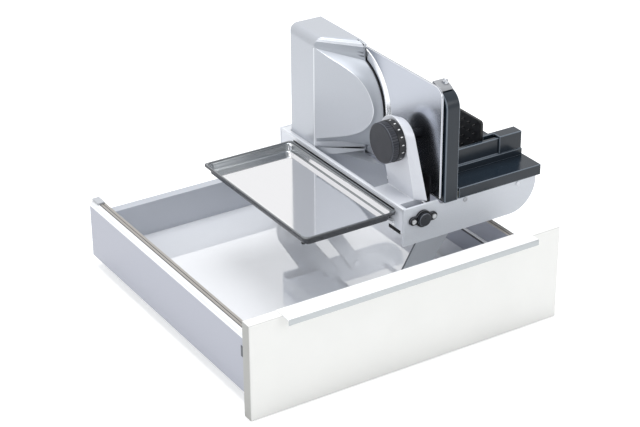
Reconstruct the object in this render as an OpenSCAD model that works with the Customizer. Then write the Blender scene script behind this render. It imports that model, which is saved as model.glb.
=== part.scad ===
// Food slicer that stands on swinging lift arms in a kitchen drawer.
// Axes: +X to the right, +Y into the cabinet, +Z up. The origin is at the middle of the
// front panel's lower edge, on its rear face, which meets the cabinet's front edge.
// The slicer is drawn lifted and ready to use, with its carriage at the front.

/* [Drawer] */
// Width of the front panel
front_w = 497; // [490:1:560]
// Height of the front panel
front_h = 142; // [120:1:180]
// Thickness of the front panel
front_t = 17; // [14:1:22]
// How far each side stands in from the end of the front panel
side_inset = 16; // [12:1:20]
// Thickness of a drawer side
side_t = 16.5; // [16:0.5:18]
// Height of the lower edge of the sides
side_z = 15.5; // [15:0.5:18]
// Height of the upper edge of the sides
side_top = 105; // [95:1:112]
// Length of the sides behind the front panel
side_len = 475; // [460:5:520]
// Thickness of the drawer floor
floor_t = 16; // [12:1:18]
// Thickness of the back panel
back_t = 15; // [12:1:18]
// Height of the upper edge of the back panel
back_top = 89; // [70:1:100]
// How far the drawer pulls out
drawer_travel = 400; // [300:5:400]

/* [Handle] */
// Half the length of the handle strip
handle_half = 199; // [150:1:230]
// How far the strip stands out in front of the panel
handle_reach = 16; // [12:1:20]
// Height of the strip's lip
handle_lip = 8.7; // [7:0.1:12]
// Sheet thickness of the strip
handle_t = 1.6; // [1:0.1:2]

/* [Slicer frame] */
// Place of the frame's front face behind the front panel
frame_y = 66.4; // [60:0.1:75]
// Length of the frame from front face to rear face
frame_len = 323.6; // [321:0.1:335]
// Left end of the frame
frame_x = 44; // [40:1:46]
// Right end of the frame
frame_right = 269; // [265:1:280]
// Height of the frame's lower edge
frame_z = 132; // [130:1:134]
// Height of the frame's upper edge on the left
frame_top = 188; // [186:1:190]
// Thickness of the frame's end plates
plate_t = 3.6; // [3:0.1:4]
// Radius of the big lower corner
frame_corner_r = 45; // [35:1:50]

/* [Blade and drive] */
// Radius of the round blade
blade_r = 85; // [80:1:86]
// Thickness of the blade
blade_t = 1.6; // [1:0.1:2]
// Place of the blade's axis along the slicer
blade_y = 274.1; // [272:0.1:276]
// Height of the blade's axis
blade_z = 262.5; // [261:0.1:264]
// Radius that the housing covers on the motor side
cover_r = 71.4; // [66:0.1:72]
// Teeth of the worm wheel
wheel_teeth = 40; // [32:4:40]
// Pitch radius of the worm wheel
wheel_r = 24; // [22:0.1:24]

/* [Stop plate and knob] */
// Greatest slice thickness, the travel of the stop plate
slice_max = 14; // [8:0.5:14]
// Thickness of the stop plate
stop_t = 3; // [2:0.1:3.4]
// Radius of the thickness knob
knob_r = 29; // [26:0.5:32]
// Height of the stop plate's upper edge
stop_top = 351; // [346:1:352]

/* [Carriage] */
// Depth of the carriage deck along the slicer
deck_len = 165; // [140:1:166]
// Height of the deck's upper face
deck_top = 198; // [197:0.5:200]
// Height of the push wall's upper edge
wall_top = 233; // [225:1:236]
// Height of the hand guard's upper end
guard_top = 355; // [340:1:358]

/* [Tray] */
// Width of the tray across the slicer
tray_w = 148; // [130:1:150]
// Length of the tray along the slicer
tray_len = 275; // [240:1:280]
// Depth of the tray
tray_h = 14; // [10:0.5:14]

/* [Hidden] */
$fn = 48;

// Small fits that many pieces share
overrun = 1;
run_gap = 0.06;
seat_gap = 0.3;

// Drawer, worked out from its driving sizes
half_w = front_w / 2;
side_x = half_w - side_inset;
inner_x = side_x - side_t;
lip_rise = 2;
lip_t = 3;
floor_lip = 8;
floor_z = side_z + lip_rise + lip_t;
floor_top = floor_z + floor_t;
back_inset = 8;
back_y = side_len - back_t - back_inset;
wall_skin = 1.6;
rim_round_r = 8;
rim_cap = 5;
groove_w = 0.8;
groove_d = 1;
groove_share = [0.42, 0.72];
web_z = 58.5;
web_t = 2;
ledge_z = 71;
ledge_h = 3;
ledge_out = 2;
rail_start = 8;
rail_overlap = 62;
rail_w = 10.5;
rail_skin = 1.2;
rail_drop = 2.5;
rail_foot_w = 22;
rail_lower_h = 16;
rail_upper_h = 16;
rail_mouth = 4.5;
beam_web = 2.6;
rail_screw_r = 2.5;
rail_screw_inset = 40;
rail_screw_pitch = 380;
bracket_len = 40;
bracket_low = 62;
bracket_high = 98;
bracket_screw_r = 2.5;
bracket_screw_len = 12;
bracket_screw_z = [70, 92];
cap_len = 20;
cap_h = 3;
cap_inset = 4;
clip_y = 27;
clip_len = 5;
clip_z = 69;
clip_h = 16;
clip_t = 0.8;

// Lift linkage: both lower pivots stand on the drawer floor
lower_x = 48;
lower_z = 58;
upper_x = 110;
upper_z = 150;
guide_offset = 64;
arm_t = 3;
arm_wide_r = 24;
arm_foot_r = 19;
guide_r = 11;
pin_r = 4;
axle_r = 5;
arm_gap = 2;
bracket_t = 3;
bracket_rise = 14;
bracket_base = 34;
bracket_ear = 16;
bracket_hole_r = 2.5;
bracket_bolt_r = 2.4;
bracket_head_r = 4.5;
bracket_head_h = 2;
bracket_bolt_len = 10;
arm_play = 1;
front_arm_y = frame_y + plate_t + arm_gap;
rear_face_y = frame_y + frame_len - plate_t;
guide_arm_y = rear_face_y - arm_gap - arm_t;
rear_arm_y = guide_arm_y - arm_gap - arm_t - arm_play;
front_bracket_y = frame_y;
rear_bracket_y = rear_face_y;

// Lock on the front plate
lock_x = 74.6;
lock_z = 168.3;
lock_r = 9.5;
lock_reach = 8;
lock_flange_t = 3.5;
lock_flange_r = 12.5;
lock_ear_r = 6;
lock_ear_off = 16.7;
lock_screw_r = 2;
lock_head_r = 3.4;
lock_head_h = 1.8;
lock_stem_r = 5;
lock_lobe_r = 8;
lock_travel = 3;

// Frame details
plate_low_top = 181.4;
step_x = 98;
step_w = 9.5;
beam_t = 3.5;
beam_low = 170;
beam_block_low = 150;
beam_block_len = 19;
tray_ledge_z = 160;
tray_ledge_t = 3;
tray_ledge_out = 4.5;
sill_z = 136;
sill_t = 3;
sill_y = 292;
rod_r = 4;
rod_z = 177;
rod_x = [146, 237.4];
rod_screw_r = 2.2;
rod_screw_head_r = 3.4;
rod_screw_head_h = 1;

// Tower, in planes across the blade's axis
back_x = 98;
back_plate_t = 3;
blade_x = 103.2;
tower_x = 51.6;
tower_front = 304.3;
tower_rear = 372.8;
tower_top = 355.6;
tower_shoulder_drop = 14.6;
tower_low = 139;
tower_edge_r = 5;
tower_top_x = 64;
tower_cap_y = 251;
tower_cap_h = 55.6;
shell_t = 2.4;
cover_t = 3;
lower_panel_y = 190;
lower_panel_drop = 3;
rim_gap = 1.5;
lip_w = 4;
lip_h = 1.6;
housing_screw_r = 3;
housing_screw_h = 1;
housing_screw_in = 10.8;
vent_w = 2.4;
vent_len = 26;
vent_pitch = 6;
vent_count = 5;
vent_z = 160;

// Drive train
hub_r = 6;
hub_left = 74;
hub_flange_r = 18;
hub_flange_t = 1.6;
bush_r = 8;
bush_flange_r = 11;
bush_flange_t = 1.5;
wheel_x = 79.5;
wheel_w = 7;
wheel_tip = 0.8;
wheel_root = 1.1;
tooth_base_share = 0.42;
tooth_tip_share = 0.19;
worm_r = 4;
worm_offset = 0.9;
worm_len = 26;
worm_gap = 0.3;
worm_steps = 10;
worm_sides = 16;
motor_r = 15;
motor_low = 160;
motor_high = 222;
motor_shaft_r = 2.5;
motor_shaft_top = 279;
motor_shaft_dip = 8;
motor_plate_t = 2.5;
motor_plate_hole_r = 6;
cap_screw_r = 14;
cap_screw_h = 2.6;
coin_slot_w = 3;
coin_slot_d = 1.4;
blade_bevel = 7;
blade_edge_t = 0.3;
switch_x = 76;
switch_drop = 35.6;
switch_r = 8;
switch_out = 3.2;
switch_in = 7;
switch_travel = 2;
switch_body_len = 18;
switch_body_h = 22;
switch_body_left = 70;
gland_x = 66;
gland_z = 202;
gland_r = 6;
gland_bore_r = 3.5;
gland_len = 8;

// Stop plate and its adjuster
knob_y = 133.3;
knob_z = 259.9;
knob_x = 50;
knob_len = 22.5;
knob_shell = 3;
knob_edge = 1.5;
dial_w = 11;
dial_ring_t = 0.5;
dial_sink = 2;
arm_left = 73;
arm_right = 86.6;
arm_head_r = 31;
arm_slice = 1;
arm_left_head_y = 138;
arm_left_head_z = 262;
arm_right_head_y = 132;
arm_right_head_z = 258;
arm_left_foot_y = 85;
arm_right_foot_y = 73;
arm_rear_y = 147;
arm_foot_low = 171;
arm_foot_h = 2;
collar_r = 14;
collar_len = 4;
spindle_r = 7;
stop_x = 102.2;
stop_low = 190;
lower_panel_top = stop_low - lower_panel_drop;
stop_corner_r = 15;
stop_bevel = 3.8;
stop_gap = 1.2;
stop_back_gap = 2;
stop_bracket_t = 1.2;
stop_bracket_low = 172;
stop_bracket_high = 215;
stop_bracket_y = 88;
stop_bracket_len = 56;
stop_rod_r = 4;
stop_rod_y = [100, 134];
stop_rod_z = 179;
stop_rod_left = 70;

// Carriage
deck_x = 108;
deck_right = 275.6;
deck_front = 64;
deck_t = 6;
skirt_z = 182;
skirt_t = 2;
guard_right = 134;
guard_front = 62;
guard_rear = 98;
guard_corner_r = 22;
guard_side_r = 5;
guard_screw_r = 4;
guard_screw_h = 1.6;
glide_half = 9;
glide_len = 34;
glide_low = 170;
glide_y = [76, 186];
wall_y = 106;
wall_t = 6;
wall_foot_y = 103;
wall_foot_len = 14;
wall_ledge = 209;
wall_right = 272;
holder_left = 231;
holder_right = 270;
holder_skin = 2.8;
holder_rear = 122;
holder_rear_low = 204;
holder_bridge_left = 212;
press_x = 208;
press_t = 4;
press_len = 70;
press_top = 259;
press_low = 202;
press_corner_r = 5;
tooth_r = 1.4;
tooth_tip_r = 0.4;
tooth_len = 4;
tooth_rows = 4;
tooth_columns = 4;
tooth_pitch = 13;
tooth_first_y = 132;
tooth_first_z = 210;

// Tray
tray_right = 41;
tray_y = 78;
tray_top = 182;
tray_skin = 1;
tray_rim = 5;
tray_rim_h = 3;
tray_corner_r = 14;
hook_len = 20;
hook_inset = 6;
hook_foot = 14;
nib_r = 3;
nib_h = 4;
nib_places = [[-96, 84], [-80, 82]];

// Draws a flat shape given in Y and Z as a slab from x to x + t
module slab_x(x, t) {
    translate([x, 0, 0]) rotate([90, 0, 90]) linear_extrude(t) children();
}

// Draws a flat shape given in X and Z as a slab from y to y + t
module slab_y(y, t) {
    translate([0, y + t, 0]) rotate([90, 0, 0]) linear_extrude(t) children();
}

// Block between two corners
module block(low, high) {
    translate(low) cube([high[0] - low[0], high[1] - low[1], high[2] - low[2]]);
}

// Round bar along X, from x, at a place in Y and Z
module bar_x(x, y, z, r, len) {
    translate([x, y, z]) rotate([0, 90, 0]) cylinder(r = r, h = len);
}

// Round bar along Y, from y, at a place in X and Z
module bar_y(x, y, z, r, len) {
    translate([x, y, z]) rotate([-90, 0, 0]) cylinder(r = r, h = len);
}

// Left and right copies of what is drawn on the left
module both_sides() {
    children();
    mirror([1, 0, 0]) children();
}

// Points of a quarter turn or other arc, from angle a to b
function arc_points(c, r, a, b, n) =
    [for (i = [0 : n]) c + r * [cos(a + (b - a) * i / n), sin(a + (b - a) * i / n)]];

// Cabinet and drawer

// Cross-section of the left side, with its rail channel and its upper hollow
module side_section() {
    x0 = -side_x;
    difference() {
        union() {
            polygon(concat(
                [[x0, side_z], [x0 + side_t, side_z], [x0 + side_t, side_top]],
                arc_points([x0 + rim_round_r, side_top - rim_round_r], rim_round_r, 90, 180, 12)));
            translate([x0 + side_t, side_z + lip_rise]) square([floor_lip, lip_t]);
        }
        translate([x0 + wall_skin, side_z - overrun])
            square([side_t - 2 * wall_skin, web_z - side_z + overrun]);
        translate([x0 + wall_skin, web_z + web_t])
            square([side_t - 2 * wall_skin, side_top - rim_cap - web_z - web_t]);
        for (share = groove_share)
            translate([x0 + share * side_t, side_top - groove_d])
                square([groove_w, groove_d + overrun]);
    }
}

module side_left() {
    color("#BFC2CE") {
        slab_y(0, side_len) side_section();
        block([-inner_x - wall_skin, 0, ledge_z], [-inner_x + ledge_out, back_y, ledge_z + ledge_h]);
    }
}

module side_right() {
    mirror([1, 0, 0]) side_left();
}

// Plastic ends that close the rims at the rear
module side_caps() {
    color("#C9CCD4") both_sides()
        block([-side_x + cap_inset, side_len - cap_len, side_top],
              [-inner_x - overrun, side_len, side_top + cap_h]);
}

// Small covers over the front's fixing screws
module side_clips() {
    color("#6E727A") both_sides()
        block([-side_x - clip_t, clip_y, clip_z], [-side_x, clip_y + clip_len, clip_z + clip_h]);
}

rail_x = -side_x + side_t / 2;
rail_low = side_z - rail_drop;
rail_len = drawer_travel + rail_overlap;

// Open channel section, its mouth up
module channel_section(h) {
    difference() {
        translate([-rail_w / 2, 0]) square([rail_w, h]);
        translate([-rail_w / 2 + rail_skin, rail_skin]) square([rail_w - 2 * rail_skin, h - 2 * rail_skin]);
        translate([-rail_mouth / 2, h - 2 * rail_skin]) square([rail_mouth, 2 * rail_skin + overrun]);
    }
}

// Fixed rails, each with a foot that is screwed to the cabinet
module cabinet_rails() {
    foot_x = rail_x + rail_w / 2;
    color("#A7ABB0") both_sides() difference() {
        slab_y(rail_start, rail_len) {
            translate([rail_x, rail_low]) channel_section(rail_lower_h);
            translate([rail_x, rail_low]) square([rail_w / 2 + rail_foot_w, rail_skin]);
        }
        for (y = [rail_screw_inset, rail_screw_inset + rail_screw_pitch])
            translate([foot_x + rail_foot_w / 2, y, rail_low - overrun])
                cylinder(r = rail_screw_r, h = rail_skin + 2 * overrun);
    }
}

module drawer_runners() {
    color("#A7ABB0") both_sides()
        slab_y(rail_start, rail_len) translate([rail_x, web_z]) mirror([0, 1, 0])
            channel_section(rail_upper_h);
}

module middle_rails() {
    flange_w = rail_w - 2 * rail_skin - 2 * seat_gap;
    flange_h = rail_lower_h - 2 * rail_skin - 2 * seat_gap;
    low_z = rail_low + rail_skin + seat_gap;
    high_z = web_z - rail_skin - seat_gap;
    color("#8E9298") both_sides() slab_y(rail_start, rail_len) {
        translate([rail_x - flange_w / 2, low_z]) square([flange_w, flange_h]);
        translate([rail_x - flange_w / 2, high_z - flange_h]) square([flange_w, flange_h]);
        translate([rail_x - beam_web / 2, low_z]) square([beam_web, high_z - low_z]);
    }
}

module bottom_panel() {
    color("#DADCE2") difference() {
        block([-inner_x, 0, floor_z], [inner_x, back_y, floor_top]);
        for (p = floor_bolt_places)
            translate([p[0], p[1], floor_top - bracket_bolt_len])
                cylinder(r = bracket_bolt_r, h = bracket_bolt_len + overrun);
    }
}

module back_panel() {
    color("#9FA3AB") block([-inner_x, back_y, floor_z], [inner_x, back_y + back_t, back_top]);
}

front_screw_x = side_x - side_t / 2;
module front_panel() {
    color("#EFEFED") difference() {
        block([-half_w, -front_t, 0], [half_w, 0, front_h]);
        for (s = [-1, 1], z = bracket_screw_z)
            bar_y(s * front_screw_x, -bracket_screw_len, z, bracket_screw_r, bracket_screw_len + overrun);
    }
}

// Fixing blocks in the upper hollow of the sides
module front_brackets() {
    color("#8E9298") both_sides()
        block([-side_x + wall_skin, 0, bracket_low], [-inner_x - wall_skin, bracket_len, bracket_high]);
}

module front_screws() {
    color("#B5B8BC") for (s = [-1, 1], z = bracket_screw_z)
        bar_y(s * front_screw_x, -bracket_screw_len, z, bracket_screw_r, bracket_screw_len);
}

module front_handle() {
    front = -front_t - handle_reach;
    color("#BCC4CA") {
        block([-handle_half, front, front_h], [handle_half, -handle_t, front_h + handle_t]);
        block([-handle_half, front, front_h + handle_t - handle_lip],
              [handle_half, front + handle_t, front_h]);
    }
}

// Lift linkage

guide_lower_x = lower_x + guide_offset;
guide_upper_x = upper_x + guide_offset;
front_base_y = front_bracket_y - bracket_base;
rear_base_y = rear_bracket_y + bracket_t;
floor_bolt_places = concat(
    [for (s = [-1, 1]) [lower_x + s * bracket_ear, front_base_y + bracket_base / 2]],
    [for (x = [lower_x, guide_lower_x]) [x + bracket_ear, rear_base_y + bracket_base / 2]]);

// Upright of a floor bracket, with a bore for each lower axle that it holds
module bracket_section(xs) {
    last = xs[len(xs) - 1];
    difference() {
        union() {
            translate([xs[0] - bracket_rise, floor_top])
                square([last - xs[0] + 2 * bracket_rise, lower_z - floor_top]);
            for (x = xs) translate([x, lower_z]) circle(bracket_rise);
        }
        for (x = xs) translate([x, lower_z]) circle(axle_r);
    }
}

// Foot of a floor bracket, with its bolt holes and its reach to the left
module bracket_foot(xs, y, left) {
    difference() {
        block([xs[0] - left, y, floor_top],
              [xs[len(xs) - 1] + 2 * bracket_ear, y + bracket_base, floor_top + bracket_t]);
        for (p = floor_bolt_places)
            translate([p[0], p[1], floor_top - overrun])
                cylinder(r = bracket_hole_r, h = bracket_t + 2 * overrun);
    }
}

module floor_brackets() {
    rear_xs = [lower_x, guide_lower_x];
    color("#9BA0A8") {
        slab_y(front_bracket_y, bracket_t) bracket_section([lower_x]);
        bracket_foot([lower_x], front_base_y, 2 * bracket_ear);
        slab_y(rear_bracket_y, bracket_t) bracket_section(rear_xs);
        bracket_foot(rear_xs, rear_base_y, bracket_rise);
    }
}

module floor_bolts() {
    color("#B5B8BC") for (p = floor_bolt_places) {
        translate([p[0], p[1], floor_top - bracket_bolt_len])
            cylinder(r = bracket_bolt_r, h = bracket_bolt_len + bracket_t);
        translate([p[0], p[1], floor_top + bracket_t]) cylinder(r = bracket_head_r, h = bracket_head_h);
    }
}

// Short axles, riveted into the brackets
module lift_axles() {
    color("#B5B8BC") {
        bar_y(lower_x, front_bracket_y, lower_z, axle_r, front_arm_y + arm_t - front_bracket_y);
        bar_y(lower_x, rear_arm_y, lower_z, axle_r, rear_bracket_y + bracket_t - rear_arm_y);
        bar_y(guide_lower_x, guide_arm_y, lower_z, axle_r, rear_bracket_y + bracket_t - guide_arm_y);
    }
}

// Link between two pivots, wide or slim, with its two bores
module link_section(low, high, r_low, r_high) {
    run = high - low;
    side = [-run[1], run[0]] / norm(run);
    difference() {
        union() {
            translate(low) circle(r_low);
            translate(high) circle(r_high);
            polygon([low + side * r_low, low - side * r_low, high - side * r_high, high + side * r_high]);
            children();
        }
        translate(low) circle(axle_r + run_gap);
        translate(high) circle(pin_r + run_gap);
    }
}

module lift_section() {
    link_section([lower_x, lower_z], [upper_x, upper_z], arm_foot_r, arm_wide_r) children();
}

// The front arm carries the lobe that the lock's stem holds
module lift_arm_front() {
    lobe = [lock_x, lock_z];
    pivot = [upper_x, upper_z];
    side = [-(pivot - lobe)[1], (pivot - lobe)[0]] / norm(pivot - lobe);
    color("#AEB3BB") slab_y(front_arm_y, arm_t) difference() {
        lift_section() {
            translate(lobe) circle(lock_lobe_r);
            polygon([lobe + side * lock_lobe_r, lobe - side * lock_lobe_r,
                     pivot - side * arm_wide_r, pivot + side * arm_wide_r]);
        }
        translate(lobe) circle(lock_stem_r + seat_gap);
    }
}

module lift_arm_rear() {
    color("#AEB3BB") slab_y(rear_arm_y, arm_t) lift_section();
}

module guide_arm() {
    color("#AEB3BB") slab_y(guide_arm_y, arm_t)
        link_section([guide_lower_x, lower_z], [guide_upper_x, upper_z], guide_r, guide_r);
}

// Slicer frame

// Outline of an end plate: the upper edge drops where the carriage passes over it
module end_section(low_from) {
    polygon(concat(
        [[frame_x, frame_top], [frame_x, frame_z]],
        arc_points([frame_right - frame_corner_r, frame_z + frame_corner_r], frame_corner_r, 270, 360, 16),
        [[frame_right, plate_low_top]],
        arc_points([low_from + step_w, frame_top], frame_top - plate_low_top, 270, 180, 6)));
}

module frame_front() {
    color("#C3C7CE") difference() {
        slab_y(frame_y, plate_t) end_section(step_x);
        bar_y(lock_x, frame_y - overrun, lock_z, lock_stem_r + seat_gap, plate_t + 2 * overrun);
        for (s = [-1, 1])
            bar_y(lock_x + s * lock_ear_off, frame_y - overrun, lock_z, lock_screw_r, plate_t + 2 * overrun);
        for (x = rod_x) bar_y(x, frame_y - overrun, rod_z, rod_screw_r, plate_t + 2 * overrun);
    }
}

module frame_rear() {
    color("#C3C7CE") difference() {
        slab_y(rear_face_y, plate_t) end_section(step_x);
        for (x = rod_x) bar_y(x, rear_face_y - overrun, rod_z, rod_screw_r, plate_t + 2 * overrun);
    }
}

// Left wall of the frame, with the ledge that the tray's hooks stand on
module frame_beam() {
    start = frame_y + plate_t;
    color("#C3C7CE") {
        block([frame_x, start, beam_low], [frame_x + beam_t, rear_face_y, frame_top]);
        block([frame_x, start, beam_block_low], [frame_x + beam_t, start + beam_block_len, beam_low]);
        block([frame_x - tray_ledge_out, start + beam_block_len, tray_ledge_z],
              [frame_x + beam_t, rear_face_y, tray_ledge_z + tray_ledge_t]);
        block([frame_x, start + beam_block_len, tray_ledge_z + tray_ledge_t],
              [frame_x + beam_t, rear_face_y, beam_low]);
    }
}

// Plate under the tower, held by the beam and clear of the lift arms
module frame_sill() {
    color("#AEB3BB") {
        block([frame_x, sill_y, sill_z], [back_x + back_plate_t, rear_arm_y - arm_gap, sill_z + sill_t]);
        block([frame_x, sill_y, sill_z + sill_t], [frame_x + beam_t, rear_face_y, tray_ledge_z]);
    }
}

module arm_pins() {
    color("#B5B8BC") {
        bar_y(upper_x, frame_y + plate_t, upper_z, pin_r, arm_gap + arm_t + overrun);
        bar_y(upper_x, rear_arm_y - overrun, upper_z, pin_r, rear_face_y - rear_arm_y + overrun);
        bar_y(guide_upper_x, guide_arm_y - overrun, upper_z, pin_r, rear_face_y - guide_arm_y + overrun);
    }
}

module guide_rods() {
    start = frame_y + plate_t;
    color("#C9CCD0") for (x = rod_x) bar_y(x, start, rod_z, rod_r, rear_face_y - start);
}

module rod_screws() {
    color("#9DA2AA") for (x = rod_x) {
        bar_y(x, frame_y, rod_z, rod_screw_r, plate_t);
        bar_y(x, frame_y - rod_screw_head_h, rod_z, rod_screw_head_r, rod_screw_head_h);
        bar_y(x, rear_face_y, rod_z, rod_screw_r, plate_t);
        bar_y(x, rear_face_y + plate_t, rod_z, rod_screw_head_r, rod_screw_head_h);
    }
}

// Sprung lock: two-eared flange with a button in it
module lock_flange() {
    color("#2B2E33") slab_y(frame_y - lock_flange_t, lock_flange_t) difference() {
        union() {
            translate([lock_x, lock_z]) circle(lock_flange_r);
            for (s = [-1, 1]) translate([lock_x + s * lock_ear_off, lock_z]) circle(lock_ear_r);
            translate([lock_x - lock_ear_off, lock_z - lock_ear_r]) square([2 * lock_ear_off, 2 * lock_ear_r]);
        }
        translate([lock_x, lock_z]) circle(lock_r + run_gap);
        for (s = [-1, 1]) translate([lock_x + s * lock_ear_off, lock_z]) circle(lock_screw_r);
    }
}

module lock_screws() {
    color("#D5D8DC") for (s = [-1, 1]) {
        bar_y(lock_x + s * lock_ear_off, frame_y - lock_flange_t, lock_z, lock_screw_r,
              lock_flange_t + plate_t);
        bar_y(lock_x + s * lock_ear_off, frame_y - lock_flange_t - lock_head_h, lock_z, lock_head_r,
              lock_head_h);
    }
}

// The stem stops just short of the arm's lobe when the button is pressed
module lock_button() {
    gap = lock_travel + seat_gap;
    color("#3A3E45") {
        bar_y(lock_x, frame_y - lock_reach, lock_z, lock_r, lock_reach - gap);
        bar_y(lock_x, frame_y - gap, lock_z, lock_stem_r, plate_t + arm_gap);
    }
}

// Tower

// Outline of the tower on the blade side
module tower_section(inset) {
    translate([tower_cap_y + inset, tower_top - tower_cap_h])
        square([tower_rear - tower_cap_y - 2 * inset, tower_cap_h - inset]);
    translate([blade_y, tower_low + inset])
        square([tower_rear - blade_y - inset, tower_top - tower_low - 2 * inset]);
    translate([blade_y, blade_z]) circle(cover_r - inset, $fn = 96);
    translate([lower_panel_y + inset, tower_low + inset])
        square([tower_rear - lower_panel_y - 2 * inset, lower_panel_top - tower_low - 2 * inset]);
}

// Upright corner pieces of the tower between two heights
module tower_column(inset, low, high) {
    for (y = [tower_front + tower_edge_r, tower_rear - tower_edge_r])
        translate([tower_x + tower_edge_r, y, low])
            cylinder(r = tower_edge_r - inset, h = high - low, $fn = 24);
}

// Solid outer form of the tower; inset draws the hollow in it
module tower_form(inset) {
    right = back_x + (inset > 0 ? overrun : 0);
    low = lower_panel_top - 2 * inset;
    hull() {
        tower_column(inset, low, tower_top - tower_shoulder_drop - inset);
        slab_x(right - cover_t, cover_t) translate([blade_y, blade_z])
            circle(cover_r - inset, $fn = 64);
        block([right - cover_t, blade_y, low],
              [right, tower_rear - inset, tower_top - tower_shoulder_drop - inset]);
    }
    hull() {
        tower_column(inset, tower_top - tower_cap_h, tower_top - tower_shoulder_drop - inset);
        block([tower_top_x, tower_front + tower_edge_r, tower_top - tower_cap_h],
              [right, tower_rear - inset, tower_top - inset]);
        block([right - cover_t, tower_cap_y + inset, tower_top - tower_cap_h],
              [right, tower_rear - inset, tower_top - inset]);
    }
    hull() {
        tower_column(inset, tower_low + inset, lower_panel_top - inset);
        block([right - cover_t, lower_panel_y + inset, tower_low + inset],
              [right, tower_rear - inset, lower_panel_top - inset]);
    }
}

module motor_housing() {
    color("#BFC4CC") difference() {
        tower_form(0);
        tower_form(shell_t);
        bar_y(switch_x, tower_rear - shell_t - overrun, tower_top - switch_drop, switch_r + seat_gap,
              shell_t + 2 * overrun);
        bar_y(gland_x, tower_rear - shell_t - overrun, gland_z, gland_bore_r, shell_t + 2 * overrun);
        for (i = [0 : vent_count - 1])
            block([tower_x - overrun, tower_front + 2 * tower_edge_r, vent_z + i * vent_pitch],
                  [tower_x + shell_t + overrun, tower_front + 2 * tower_edge_r + vent_len,
                   vent_z + i * vent_pitch + vent_w]);
    }
}

// Plate that closes the housing, with a round lip behind the blade
module back_plate() {
    color("#B4B9C1") difference() {
        union() {
            slab_x(back_x, back_plate_t) tower_section(0);
            bar_x(back_x + back_plate_t, blade_y, blade_z, cover_r, lip_h);
        }
        bar_x(back_x + back_plate_t, blade_y, blade_z, cover_r - lip_w, lip_h + overrun);
        bar_x(back_x - overrun, blade_y, blade_z, bush_r, back_plate_t + 2 * overrun);
    }
}

// Plate around the rear half of the blade, flush with the stop plate
module blade_rim() {
    left = back_x + back_plate_t;
    color("#B4B9C1") slab_x(left, stop_x + stop_t - left) difference() {
        intersection() {
            tower_section(0);
            translate([tower_cap_y, tower_low]) square([tower_rear - tower_cap_y, tower_top - tower_low]);
        }
        translate([blade_y, blade_z]) circle(blade_r + rim_gap, $fn = 128);
    }
}

module housing_screws() {
    ys = [tower_cap_y + housing_screw_in, tower_rear - housing_screw_in];
    zs = [tower_low + housing_screw_in, tower_top - housing_screw_in];
    color("#9DA2AA") for (y = ys, z = zs)
        bar_x(stop_x + stop_t, y, z, housing_screw_r, housing_screw_h);
}

worm_y = blade_y + wheel_r - wheel_root + worm_r + worm_offset + worm_gap;
worm_x = wheel_x + wheel_w / 2;
worm_pitch = 2 * PI * wheel_r / wheel_teeth;

module motor() {
    color("#7D8187") difference() {
        translate([worm_x, worm_y, motor_low]) cylinder(r = motor_r, h = motor_high - motor_low);
        translate([worm_x, worm_y, motor_high - motor_shaft_dip])
            cylinder(r = motor_shaft_r + run_gap, h = motor_shaft_dip + overrun);
    }
}

// Shelf on the back plate that holds the motor
module motor_plate() {
    color("#9BA0A8") difference() {
        block([worm_x - motor_r, worm_y - motor_r, motor_high],
              [back_x, worm_y + motor_r, motor_high + motor_plate_t]);
        translate([worm_x, worm_y, motor_high - overrun])
            cylinder(r = motor_plate_hole_r, h = motor_plate_t + 2 * overrun);
    }
}

// Motor shaft with a single-start worm, an off-centre round twisted up the shaft
module motor_worm() {
    low = blade_z - worm_len / 2;
    color("#C8B273") {
        translate([worm_x, worm_y, motor_high - motor_shaft_dip + seat_gap])
            cylinder(r = motor_shaft_r, h = motor_shaft_top - motor_high + motor_shaft_dip);
        translate([worm_x, worm_y, low]) rotate([0, 0, -90 - 360 * (blade_z - low) / worm_pitch])
            linear_extrude(height = worm_len, twist = -360 * worm_len / worm_pitch, $fn = worm_sides,
                           slices = worm_steps * round(worm_len / worm_pitch))
                translate([worm_offset, 0]) circle(worm_r, $fn = worm_sides);
    }
}

module hub_bush() {
    color("#C8B273") difference() {
        union() {
            bar_x(back_x, blade_y, blade_z, bush_r, back_plate_t);
            bar_x(back_x - bush_flange_t, blade_y, blade_z, bush_flange_r, bush_flange_t);
        }
        bar_x(back_x - bush_flange_t - overrun, blade_y, blade_z, hub_r + run_gap,
              back_plate_t + bush_flange_t + 2 * overrun);
    }
}

module blade_hub() {
    color("#B5B8BC") {
        bar_x(hub_left, blade_y, blade_z, hub_r, blade_x - hub_left);
        bar_x(blade_x - hub_flange_t, blade_y, blade_z, hub_flange_r, hub_flange_t);
    }
}

// Points of one wheel tooth, in turn round the wheel
function tooth_points(i) = let (
    step = 360 / wheel_teeth,
    mid = (i + 0.5) * step,
    base = step * tooth_base_share / 2,
    tip = step * tooth_tip_share / 2,
    low = wheel_r - wheel_root,
    high = wheel_r + wheel_tip
) [low * [cos(mid - base), sin(mid - base)], high * [cos(mid - tip), sin(mid - tip)],
   high * [cos(mid + tip), sin(mid + tip)], low * [cos(mid + base), sin(mid + base)]];

module worm_wheel() {
    color("#E7E2D2") difference() {
        slab_x(wheel_x, wheel_w) translate([blade_y, blade_z])
            polygon([for (i = [0 : wheel_teeth - 1]) each tooth_points(i)]);
        bar_x(wheel_x - overrun, blade_y, blade_z, hub_r, wheel_w + 2 * overrun);
    }
}

// Round blade, ground to its edge from the motor side
module blade() {
    color("#D4D8DC") translate([blade_x, blade_y, blade_z]) rotate([0, 90, 0])
        rotate_extrude($fn = 128)
            polygon([[0, 0], [blade_r - blade_bevel, 0], [blade_r, blade_t - blade_edge_t],
                     [blade_r, blade_t], [0, blade_t]]);
}

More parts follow.
